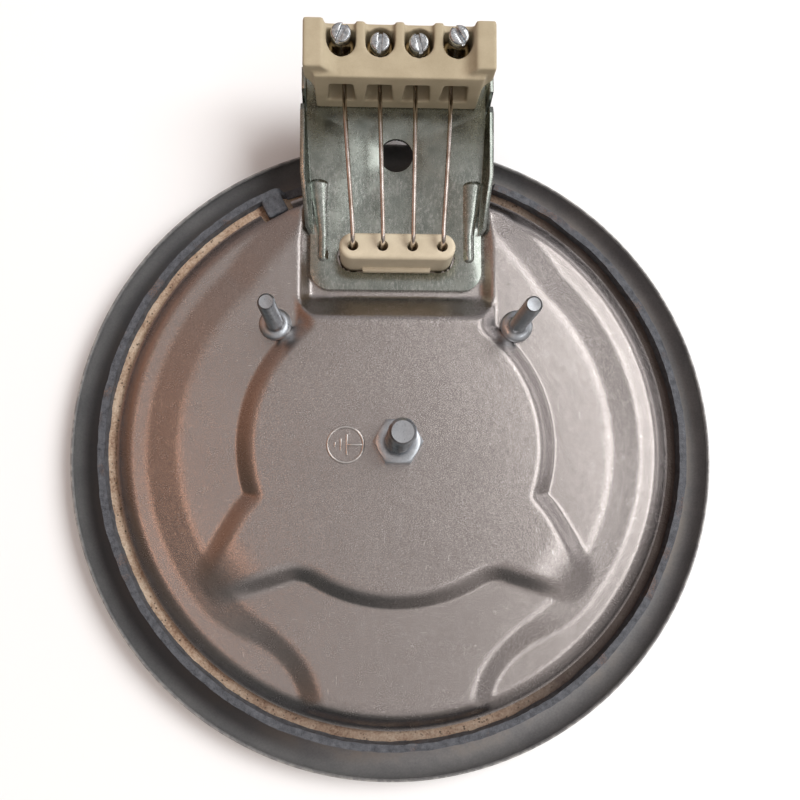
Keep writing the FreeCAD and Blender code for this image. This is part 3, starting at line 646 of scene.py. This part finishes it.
# %% [markdown]
# The pressed cover plate
#
# The cover is one disc of thin steel, pressed into three terraces: a plateau with two lobes, the
# two side pockets and the lower pocket around it, and a ledge above the skirt. A press leaves soft
# bends, so the disc is made as rings that grow outwards from the stud hole, and each vertex is
# then lifted by a height that is worked out from how far it lies inside each terrace's outline.

# %% Outlines of the terraces
skirt_foot, ledge_edge = 66.4, 62.9
edge_z, ledge_z, pocket_z, plateau_z = 14.3, 17.0, 19.5, 22.4
plateau_slope, pocket_slope, tongue_slope = 3.6, 8.4, 5.0
lobe_start, lobe_bend, lobe_knee, lobe_slope, lobe_drop = 41.0, 0.0215, 11.0, 0.473, 2.6
seat_front, seat_front_run, seat_side, seat_side_run = 36.2, 6.3, 21.0, 5.2


def rubbed(points, rounds):
    """A closed outline with its corners rubbed round."""
    count = len(points)
    for _ in range(rounds):
        points = [(points[k - 1] + points[k] * 2 + points[(k + 1) % count]) / 4
                  for k in range(count)]
    return points


def closed_outline(right_side, rounds):
    """The right half's corners, from bottom to top, mirrored, made dense and rubbed round."""
    corners = right_side + [(-x, y) for x, y in reversed(right_side[1:-1])]
    dense = refine_section(corners + [corners[0]], 0.25)[:-1]
    return rubbed([Vector(point) for point in dense], rounds)


def arc(radius, start, end):
    """Points along a circle round the centre, by angle from straight down."""
    count = max(2, round(abs(end - start) / 0.5))
    turns = [math.radians(start + (end - start) * k / count) for k in range(count + 1)]
    return [(radius * math.sin(turn), -radius * math.cos(turn)) for turn in turns]


def plateau_outline():
    """A disc with a lobe to each side below and a neck towards the bracket's seat."""
    lobe = [(23.6, -27.8), (35.0, -31.7), (46.6, -35.7), (39.4, -23.8), (34.2, -15.2)]
    neck = [(20.2, 27.2), (20.2, 44.0), (0.0, 44.0)]
    return closed_outline(arc(34.7, 0.0, 34.0) + lobe + arc(33.9, 68.0, 143.4) + neck, 80)


def pocket_outline():
    """A disc with a tongue straight down, and a straight run on each side of the seat."""
    tongue = [(0.0, -66.0), (16.4, -66.0), (16.5, -63.0), (16.8, -60.0), (17.4, -56.8),
              (18.3, -54.0), (19.6, -51.4), (21.2, -49.0), (23.2, -46.7), (25.6, -44.4)]
    seat_run = [(31.0, 42.6), (27.7, 46.5), (23.3, 51.7), (21.0, 55.0), (21.0, 60.0), (0.0, 60.0)]
    return closed_outline(tongue + arc(50.6, 34.0, 136.5) + seat_run, 40)


class Terrace:
    """An outline that can say how far a point lies inside it."""

    def __init__(self, points):
        self.points = points
        self.tree = KDTree(len(points))
        for count, point in enumerate(points):
            self.tree.insert((point.x, point.y, 0.0), count)
        self.tree.balance()

    def inside(self, x, y):
        _, number, _ = self.tree.find((x, y, 0.0))
        before, here = self.points[number - 1], self.points[number]
        after = self.points[(number + 1) % len(self.points)]
        along = (after - before).normalized()
        gap = Vector((x, y)) - here
        side = along.x * gap.y - along.y * gap.x
        across = gap.length
        if abs(gap.dot(along)) < (after - before).length:
            across = abs(side)
        return across if side > 0 else -across


plateau = Terrace(plateau_outline())
pocket = Terrace(pocket_outline())


# %% The height of the pressing at any place
def eased(t, foot, top):
    """0 below 0 and 1 above 1, with a bend of its own softness at each end."""
    if t < foot:
        t = max(0.0, t + foot)
        return t * t / (4 * foot)
    if t > 1 - top:
        t = max(0.0, 1 + top - t)
        return 1 - t * t / (4 * top)
    return t


def lower_of(a, b, soft):
    """The smaller of two heights, with the corner between them rounded."""
    gap = max(soft - abs(a - b), 0.0) / soft
    return min(a, b) - gap * gap * soft / 4


def press_height(x, y):
    """Skirt and ledge first, then the pockets, then the plateau, and last the seat cut in."""
    radius = max(math.hypot(x, y), 0.001)
    skirt = eased((skirt_foot - radius) / (skirt_foot - ledge_edge), 0.10, 0.30)
    base = edge_z + (ledge_z - edge_z) * skirt
    below = eased((-y / radius - 0.70) / 0.16, 0.3, 0.3)
    run = pocket_slope + (tongue_slope - pocket_slope) * below
    ears = (pocket_z - ledge_z) * eased(1 + pocket.inside(x, y) / run, 0.10, 0.16)
    tongue_end = pocket_z - ledge_z - 2.2 * max(0.0, (radius - 59.0) / 6.0) ** 2
    ears = base + max(0.0, lower_of(ears, tongue_end, 0.5))
    fall = max(0.0, radius - lobe_start)
    drop = lobe_bend * fall * fall if fall < lobe_knee else lobe_slope * fall - lobe_drop
    lobe = plateau_z - drop
    rise = max(0.0, lobe - ears) if lobe > ledge_z else 0.0
    z = ears + rise * eased(1 + plateau.inside(x, y) / plateau_slope, 0.07, 0.36)
    if y > 0 and z > ledge_z:
        front = (seat_front - y) / seat_front_run
        side = (abs(x) - seat_side) / seat_side_run
        over = max(front, side) if min(front, side) < 0 else math.hypot(front, side)
        seat = ledge_z + (plateau_z - ledge_z) * eased(over, 0.08, 0.14)
        z = lower_of(z, max(seat, ledge_z), 0.35) if seat < plateau_z - 0.02 else z
    return z


# %% Grow the disc in rings and lift every vertex
hole_radius, disc_radius, disc_steps, cover_sheet = 3.25, 66.6, 512, 0.7
bands = [(28.0, 2.2), (31.5, 0.9), (39.5, 0.40), (49.5, 0.85), (52.0, 0.42), (57.5, 0.85),
         (60.5, 0.5), (disc_radius, 0.4)]
ring_radii = [hole_radius]
for until, width in bands:
    count = math.ceil((until - ring_radii[-1]) / width)
    start = ring_radii[-1]
    ring_radii += [start + (until - start) * k / count for k in range(1, count + 1)]

bpy.ops.object.select_all(action="DESELECT")
bpy.ops.mesh.primitive_circle_add(vertices=disc_steps, radius=hole_radius * MM)
cover = bpy.context.object
cover.name = "cover_pressing"
bpy.ops.object.mode_set(mode="EDIT")
bpy.ops.mesh.select_all(action="SELECT")
for before, after in zip(ring_radii, ring_radii[1:]):
    grow = after / before
    bpy.ops.mesh.extrude_edges_move()
    bpy.ops.transform.resize(value=(grow, grow, 1.0))
bpy.ops.object.mode_set(mode="OBJECT")
for vertex in cover.data.vertices:
    x, y = vertex.co.x / MM, vertex.co.y / MM
    vertex.co.z = press_height(x, y) * MM
print("cover rings:", len(ring_radii))


# %% Cut the notch round the lug and the slot for the bush, and thicken the sheet
notch_radius, notch_half_angle = 63.6, 3.3
slot_length, slot_width, slot_y = 27.9, 6.9, 46.1


def in_notch(x, y):
    angle = math.degrees(math.atan2(y, x))
    return math.hypot(x, y) > notch_radius and abs(angle - lug_angle) < notch_half_angle


def in_slot(x, y):
    half = (slot_length - slot_width) / 2
    return math.hypot(max(abs(x) - half, 0.0), y - slot_y) < slot_width / 2


take(cover)
bpy.ops.object.mode_set(mode="EDIT")
bpy.ops.mesh.select_mode(type="FACE")
bpy.ops.mesh.select_all(action="DESELECT")
bpy.ops.object.mode_set(mode="OBJECT")
for face in cover.data.polygons:
    x, y = face.center.x / MM, face.center.y / MM
    face.select = in_notch(x, y) or in_slot(x, y)
bpy.ops.object.mode_set(mode="EDIT")
bpy.ops.mesh.delete(type="FACE")
bpy.ops.mesh.select_all(action="SELECT")
bpy.ops.mesh.normals_make_consistent(inside=False)
bpy.ops.object.mode_set(mode="OBJECT")
if sum(face.normal.z for face in cover.data.polygons) < 0:
    cover.data.flip_normals()
apply_modifier(cover, "SOLIDIFY", thickness=cover_sheet * MM, offset=-1.0)
smooth(cover, 50)
finish(cover, cover_steel, "cover_steel", "cover_plate")

# %% [markdown]
# The protective-earth sign
#
# Beside the centre stud the press has raised a small round sign, the usual one for an earth
# connection. It is a ring, three bars and a stem, each a rounded bead that stands only a little
# over the plateau.

# %% Raise the earth sign, painted bright as a highlight, with a painted shadow line at its foot
sign_x, sign_y, sign_r = -12.0, -0.4, 4.15
bars = [(0.35, 0.0, 5.2), (-1.05, 0.0, 3.2), (-2.4, 0.0, 1.5), (2.2, 90.0, 3.7)]


def earth_sign(name, bead, height):
    """A ring and the bars, given as offset, turn and length, from beads of one radius."""
    bpy.ops.object.select_all(action="DESELECT")
    bpy.ops.mesh.primitive_torus_add(location=(sign_x * MM, sign_y * MM, height * MM),
                                     major_radius=sign_r * MM, minor_radius=bead * MM,
                                     major_segments=72, minor_segments=10)
    strokes = [settle(bpy.context.object)]
    for offset, turned_by, length in bars:
        bpy.ops.object.select_all(action="DESELECT")
        place = ((sign_x + offset) * MM, sign_y * MM, height * MM)
        bpy.ops.mesh.primitive_uv_sphere_add(segments=16, ring_count=10, radius=bead * MM,
                                             location=place)
        stroke = bpy.context.object
        for vertex in stroke.data.vertices:
            if abs(vertex.co.y) > 1e-7:
                vertex.co.y += math.copysign((length / 2 - bead) * MM, vertex.co.y)
        stroke.rotation_euler = (0, 0, math.radians(turned_by))
        strokes.append(settle(stroke))
    return smooth(joined(strokes, name), 60)


# The sign's beads, in a brighter steel as a painted highlight.
finish(earth_sign("earth_sign", 0.34, plateau_z + 0.02), sign_highlight_steel, "cover_steel")
# A wider, lower copy in near-black: a painted shadow line round the sign's foot.
finish(earth_sign("earth_sign_shadow_line", 0.50, plateau_z - 0.36), sign_shadow_line, "cover_steel")

# %% [markdown]
# Studs with real threads
#
# A rolled thread catches light on every flank, so it is modelled. The stud's section is drawn with
# a row of points for every eighth of the pitch and spun, and each vertex is then moved in or out
# by where it lies on the helix.

# %% Turn a threaded stud
def threaded_stud(name, x, y, radius, pitch, depth, foot, thread_from, top, chamfer):
    """A stud whose foot is a section of its own, threaded from one height up, in millimetres."""
    run = top - chamfer - thread_from
    rows = math.ceil(run / (pitch / 8))
    section = foot + [(radius, thread_from)]
    for k in range(1, rows + 1):
        section.append((radius, thread_from + run * k / rows))
    section += [(radius - chamfer, top), (radius * 0.4, top - 0.05), (0.0, top - 0.08)]
    obj = draw_section(name, section)
    spin_round(obj, 40)
    for vertex in obj.data.vertices:
        co = vertex.co
        height = co.z / MM
        out = math.hypot(co.x, co.y) / MM
        on_thread = thread_from - 0.01 <= height <= top - 0.01
        if not on_thread or not radius * 0.6 <= out <= radius + 0.1:
            continue
        angle = math.atan2(co.y, co.x) / (2 * math.pi)
        wave = abs(((height / pitch - angle) % 1.0) - 0.5) * 2
        fade = min(1.0, (height - thread_from) / pitch)
        shrink = 1 - depth * wave * fade / out
        co.x *= shrink
        co.y *= shrink
    for vertex in obj.data.vertices:
        vertex.co += Vector((x * MM, y * MM, 0.0))
    return smooth(obj, 45)


centre_foot = [(3.0, 5.2)]
centre_stud = threaded_stud("centre_stud_thread", 0, 0, 3.0, 1.0, 0.55, centre_foot, 23.0,
                            46.5, 0.7)
finish(centre_stud, stud_zinc, "stud_zinc", "centre_stud")
side_x, side_y = 28.9, 28.6
collar = [(0.0, 19.5), (3.6, 19.5), (3.9, 19.7), (3.85, 20.1), (3.4, 20.5), (2.8, 20.8),
          (2.3, 20.95), (2.0, 21.3)]
for side, name in ((-1, "left_side_stud"), (1, "right_side_stud")):
    stud = threaded_stud(name + "_thread", side * side_x, side_y, 2.0, 0.7, 0.35, collar, 22.0,
                         39.5, 0.5)
    finish(stud, stud_zinc, "stud_zinc", name)

# %% [markdown]
# Edges that catch the light
#
# The CAD solids of bracket, bush, clamps, screws and nut have the right shape with sharp edges. A
# copy of each is merged into one skin, its flat faces are dissolved into single ones, and a narrow
# bevel then rounds every sharp edge, as pressing, plating and firing do.

# %% Soften a CAD solid's edges
SKIN_GAP = 0.004 * MM


def softened(node, name, width_mm):
    """A free copy of a CAD node, with its sharp edges rounded by a narrow bevel."""
    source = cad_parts[node]
    obj = source.copy()
    obj.data = source.data.copy()
    obj.name = name
    for key in list(obj.keys()):
        del obj[key]
    obj.parent = None
    bpy.context.scene.collection.objects.link(obj)
    obj.hide_render = obj.hide_viewport = False
    take(obj)
    bpy.ops.object.mode_set(mode="EDIT")
    bpy.ops.mesh.select_all(action="SELECT")
    bpy.ops.mesh.remove_doubles(threshold=SKIN_GAP)
    bpy.ops.mesh.dissolve_limited(angle_limit=math.radians(1.0))
    bpy.ops.object.mode_set(mode="OBJECT")
    apply_modifier(obj, "BEVEL", width=width_mm * MM, segments=2, limit_method="ANGLE",
                   angle_limit=math.radians(34.0), harden_normals=False, use_clamp_overlap=True)
    apply_modifier(obj, "TRIANGULATE")
    return smooth(obj, 38)


soft_pieces = [
    ("centre_nut", "hexagon_nut", 0.12, stud_zinc, "stud_zinc"),
    ("terminal_bracket", "bracket_sheet", 0.14, bracket_zinc, "bracket_zinc"),
    ("lead_bush", "ceramic_bush", 0.22, bush_ceramic, "bush_ceramic"),
]
for i in range(1, 5):
    soft_pieces += [
        ("clamp_%d" % i, "clamp_cage_%d" % i, 0.12, clamp_brass, "clamp_brass"),
        ("clamp_screw_%d" % i, "slotted_screw_%d" % i, 0.10, screw_steel, "screw_steel"),
    ]

# %% Push the bracket's flanges out and lift the outer screws
tilt_y, tilt_z, tilt_degrees = 51.5, 17.0, 4.0
sheet_top, flange_height = 18.0, 6.5
bend_x, bend_y, flange_push = 16.5, 52.0, 2.0
screw_lift = Vector((0.0, 0.7, 1.2))


def push_flanges(obj):
    """Let the flanges rise from the sheet's very edge, as they do on the real bracket."""
    for vertex in obj.data.vertices:
        x, y, z = (value / MM for value in vertex.co)
        above = z - sheet_top - (y - tilt_y) * math.tan(math.radians(tilt_degrees))
        if y > bend_y and abs(x) > bend_x:
            push = flange_push * min(1.0, (abs(x) - bend_x) / 1.8)
            push *= max(0.0, 1 - max(above, 0.0) / flange_height) * min(1.0, (y - bend_y) / 3.0)
            vertex.co.x += math.copysign(push * MM, x)


for node, name, width, material, slot in soft_pieces:
    piece = softened(node, name, width)
    if node == "terminal_bracket":
        push_flanges(piece)
    if node in ("clamp_screw_1", "clamp_screw_4"):
        piece.data.transform(Matrix.Translation(screw_lift * MM))
    finish(piece, material, slot, node)

# %% [markdown]
# The steatite block
#
# Fired steatite has no sharp edge anywhere. The block is put together from prisms that overlap,
# the wells and the wire mouths are cut out, and a fine remesh with a smoothing pass then rounds
# every edge and inner corner.

# %% Press the steatite block
block_low, block_top, block_front, block_back = 18.0, 33.6, 83.2, 95.8
well_y, well_radius, well_depth, well_z, pitch = 91.5, 3.35, 20.0, 31.5, 8.9
rough_voxel, fine_voxel = 0.32 * MM, 0.30 * MM


def prism(name, corners, y_from, y_to):
    """A solid bar with this (x, z) section, from one y to another."""
    obj = draw_section(name, corners + [corners[0]])
    take(obj)
    bpy.ops.object.mode_set(mode="EDIT")
    bpy.ops.mesh.select_all(action="SELECT")
    bpy.ops.mesh.remove_doubles(threshold=MERGE_GAP)
    bpy.ops.mesh.edge_face_add()
    bpy.ops.transform.translate(value=(0, y_from * MM, 0))
    step = (0, (y_to - y_from) * MM, 0)
    bpy.ops.mesh.extrude_region_move(TRANSFORM_OT_translate={"value": step})
    bpy.ops.mesh.select_all(action="SELECT")
    bpy.ops.mesh.normals_make_consistent(inside=False)
    bpy.ops.object.mode_set(mode="OBJECT")
    return obj


def slab(name, x_from, x_to, y_from, y_to, z_from, z_to):
    corners = [(x_from, z_from), (x_to, z_from), (x_to, z_to), (x_from, z_to)]
    return prism(name, corners, y_from, y_to)


parts = [slab("block_core", -19.6, 19.6, block_front, block_back, block_low, block_top)]
for side in (-1, 1):
    wing = [(16.9, 31.0), (17.3, 36.1), (21.9, 36.1), (21.9, 30.6), (19.3, 26.0), (18.5, 26.0)]
    wing = [(side * x, z) for x, z in wing]
    parts.append(prism("wing", wing, block_front + 1.2, block_back))
    cove = [(13.4, 33.2), (15.6, 34.1), (17.6, 36.0), (17.6, 33.0)]
    cove = [(side * x, z) for x, z in cove]
    parts.append(prism("cove", cove, block_front + 1.0, block_back - 1.0))
for i in (-1, 0, 1):
    middle, half = i * pitch, 1.15
    wall = slab("divider", middle - half, middle + half, well_y - 3.6, block_back, 33.0, 34.9)
    for vertex in wall.data.vertices:
        if vertex.co.y < (well_y - 3.0) * MM:
            vertex.co.z = min(vertex.co.z, 33.5 * MM)
    parts.append(wall)
block = joined(parts, "steatite_block")
apply_modifier(block, "REMESH", mode="VOXEL", voxel_size=rough_voxel)

cutters = []
for i in range(4):
    x = pitch * (i - 1.5)
    bpy.ops.object.select_all(action="DESELECT")
    bpy.ops.mesh.primitive_cylinder_add(vertices=40, radius=well_radius * MM,
                                        depth=well_depth * MM,
                                        location=(x * MM, well_y * MM, well_z * MM))
    cutters.append(settle(bpy.context.object))
    cutters.append(slab("well_rear", x - well_radius, x + well_radius, well_y,
                        block_back - 1.8, 21.5, 41.0))
    mouth = [(x - 3.35, 22.0), (x + 3.35, 22.0), (x + 2.7, 29.9), (x - 2.7, 29.9)]
    cutters.append(prism("mouth", mouth, block_front - 1.0, well_y))
for cutter in cutters:
    apply_modifier(block, "BOOLEAN", operation="DIFFERENCE", solver="EXACT", object=cutter)
for cutter in cutters:
    bpy.data.objects.remove(cutter)
apply_modifier(block, "REMESH", mode="VOXEL", voxel_size=fine_voxel)
apply_modifier(block, "SMOOTH", factor=0.5, iterations=9)
apply_modifier(block, "DECIMATE", ratio=0.30)
pivot = Vector((0, tilt_y * MM, tilt_z * MM))
lean = Matrix.Rotation(math.radians(tilt_degrees), 4, "X")
block.data.transform(Matrix.Translation(pivot) @ lean @ Matrix.Translation(-pivot))
smooth(block, 70)
finish(block, block_ceramic, "block_ceramic", "terminal_block")

# %% Finish of the coils, which keep the shape of their CAD nodes
for node in ("inner_heating_coil", "middle_heating_coil", "outer_heating_coil"):
    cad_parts[node].data.materials.clear()
    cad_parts[node].data.materials.append(coil_wire)
print("coils finished with", coil_wire.name)

# %% [markdown]
# The lead wires
#
# Four bare wires rise from the bush and run in a flat arch to the clamps. Each is one smooth curve
# through a few points, with a round bevel, made a mesh so that it can be exported.

# %% Bend the lead wires
wire_radius, bush_pitch, clamp_pitch = 0.55, 7.0, 8.5
for i in range(4):
    node = "lead_wire_%d" % (i + 1)
    low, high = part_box(node)
    start_x = bush_pitch * (i - 1.5)
    end_x = clamp_pitch * (i - 1.5)
    far = high.y / MM
    route = [(start_x, slot_y, 12.0), (start_x, slot_y, 20.0), (start_x, slot_y, 26.5),
             (start_x, 46.6, 28.9), (start_x, 49.5, 29.3),
             (start_x * 0.7 + end_x * 0.3, 58.1, 29.2), (start_x * 0.3 + end_x * 0.7, 71.1, 28.6),
             (end_x, 82.0, 26.9), (end_x, far - 4.0, 26.6), (end_x, far, 26.8)]
    curve = bpy.data.curves.new(node + "_bent", "CURVE")
    curve.dimensions = "3D"
    spline = curve.splines.new("NURBS")
    spline.points.add(len(route) - 1)
    for point, place in zip(spline.points, route):
        point.co = (*(Vector(place) * MM), 1.0)
    spline.order_u = 4
    spline.use_endpoint_u = True
    spline.resolution_u = 8
    curve.bevel_depth = wire_radius * MM
    curve.bevel_resolution = 4
    curve.use_fill_caps = True
    wire = bpy.data.objects.new(node + "_bent", curve)
    bpy.context.scene.collection.objects.link(wire)
    take(wire)
    bpy.ops.object.convert(target="MESH")
    wire = bpy.context.object
    smooth(wire, 60)
    finish(wire, lead_wire, "lead_wire", node)

# %% [markdown]
# Floor and light
#
# Polished steel shows what stands round it, so the room matters as much as the lamps. A pale floor
# carries the plate. The sky is neutral overhead and brown on the left. Soft panels stand to the
# right and in front as windows do, a narrow warm one on the left tints the slopes that face it,
# and two fills that no metal mirrors lift the ceramic and the paint.

# %% Floor
bpy.ops.object.select_all(action="DESELECT")
bpy.ops.mesh.primitive_plane_add(size=6.0, location=(0, 0, 0))
floor = bpy.context.object
floor.name = "pale_floor"
paper = Finish("pale_floor")
floor.data.materials.append(paper.done(Base_Color=(0.90, 0.90, 0.90), Roughness=0.9))
floor.visible_glossy = False
floor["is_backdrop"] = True
print("staged", floor.name)

# %% Sky: neutral overhead and on the right, brown on the left, dark below the horizon and in front
WHITE = (1.0, 1.0, 1.0)
sky = bpy.data.worlds.new("studio")
sky.use_nodes = True
tree = sky.node_tree
direction = tree.nodes.new("ShaderNodeTexCoord")


def sky_ramp(toward, low, high, first, second):
    """A colour that changes with how far the sky's direction goes toward this vector."""
    along = tree.nodes.new("ShaderNodeVectorMath")
    along.operation = "DOT_PRODUCT"
    along.inputs[1].default_value = toward
    span = tree.nodes.new("ShaderNodeMapRange")
    span.inputs[1].default_value, span.inputs[2].default_value = low, high
    ramp = tree.nodes.new("ShaderNodeValToRGB")
    ramp.color_ramp.elements[0].color = (*first, 1.0)
    ramp.color_ramp.elements[1].color = (*second, 1.0)
    tree.links.new(direction.outputs["Generated"], along.inputs[0])
    tree.links.new(along.outputs["Value"], span.inputs[0])
    tree.links.new(span.outputs[0], ramp.inputs[0])
    return ramp.outputs[0]


def times(first, second):
    """One colour times another."""
    product = tree.nodes.new("ShaderNodeMix")
    product.data_type = "RGBA"
    product.blend_type = "MULTIPLY"
    product.inputs[0].default_value = 1.0
    tree.links.new(first, product.inputs[6])
    tree.links.new(second, product.inputs[7])
    return product.outputs[2]


across = sky_ramp((1, 0, 0), -0.98, -0.05, (0.53, 0.265, 0.175), (0.56, 0.52, 0.505))
leftward = sky_ramp((-1, 0, 0), 0.05, 0.28, WHITE, (0.78, 0.81, 0.80))
rightward = sky_ramp((1, 0, 0), 0.60, 0.78, WHITE, (0.70, 0.70, 0.71))
upward = sky_ramp((0, 0, 1), -0.30, -0.02, (0.12, 0.11, 0.11), WHITE)
frontal = sky_ramp((0, -1, 0), 0.74, 0.97, WHITE, (0.32, 0.32, 0.315))
rear = sky_ramp((0, 1, 0), 0.45, 0.85, WHITE, (0.74, 0.76, 0.80))
corner = sky_ramp((-0.79, -0.61, 0), 0.50, 0.92, WHITE, (0.36, 0.50, 0.58))
high_part = times(times(across, upward), times(frontal, rear))
whole = times(high_part, times(corner, times(leftward, rightward)))
tree.links.new(whole, tree.nodes["Background"].inputs[0])
bpy.context.scene.world = sky
bpy.context.scene.view_settings.view_transform = "Standard"
print("sky nodes:", len(tree.nodes))


# %% Soft panels of light
def soft_box(name, azimuth, lean, distance, size, radiance, colour):
    """An evenly bright panel that faces the plate; the lean is its angle from straight above."""
    lamp = bpy.data.lights.new(name, "AREA")
    lamp.shape = "RECTANGLE"
    lamp.size, lamp.size_y = size
    lamp.energy = radiance * math.pi * size[0] * size[1]
    lamp.color = colour
    panel = bpy.data.objects.new(name, lamp)
    bpy.context.scene.collection.objects.link(panel)
    x, y = polar(distance * math.sin(math.radians(lean)), azimuth)
    panel.location = (x, y, distance * math.cos(math.radians(lean)))
    panel.rotation_euler = (-panel.location).to_track_quat("-Z", "Y").to_euler()
    return panel


soft_box("window_right", 22.0, 33.5, 1.5, (1.3, 0.45), 2.6, (1.0, 0.99, 0.98))
soft_box("low_right", 25.0, 80.0, 1.6, (1.9, 0.30), 1.3, (1.0, 0.97, 0.98))
soft_box("window_front", -36.0, 36.0, 1.5, (0.45, 0.36), 1.9, (1.0, 0.99, 0.98))
soft_box("warm_left", 186.0, 28.0, 1.5, (0.8, 0.11), 2.8, (1.0, 0.50, 0.30))
paper_fill = soft_box("paper_fill", 20.0, 38.0, 1.5, (0.9, 0.7), 8.6, (0.97, 0.99, 1.0))
front_fill = soft_box("front_fill", -95.0, 66.0, 1.5, (1.1, 0.5), 2.2, (1.0, 0.98, 0.95))
for panel in (paper_fill, front_fill):
    panel.visible_glossy = False
print("lights:", len(bpy.data.lights))

# %% Measure the visual box and print it
low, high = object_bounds()
print("visual box in mm:", [round(v / MM, 1) for v in high - low])
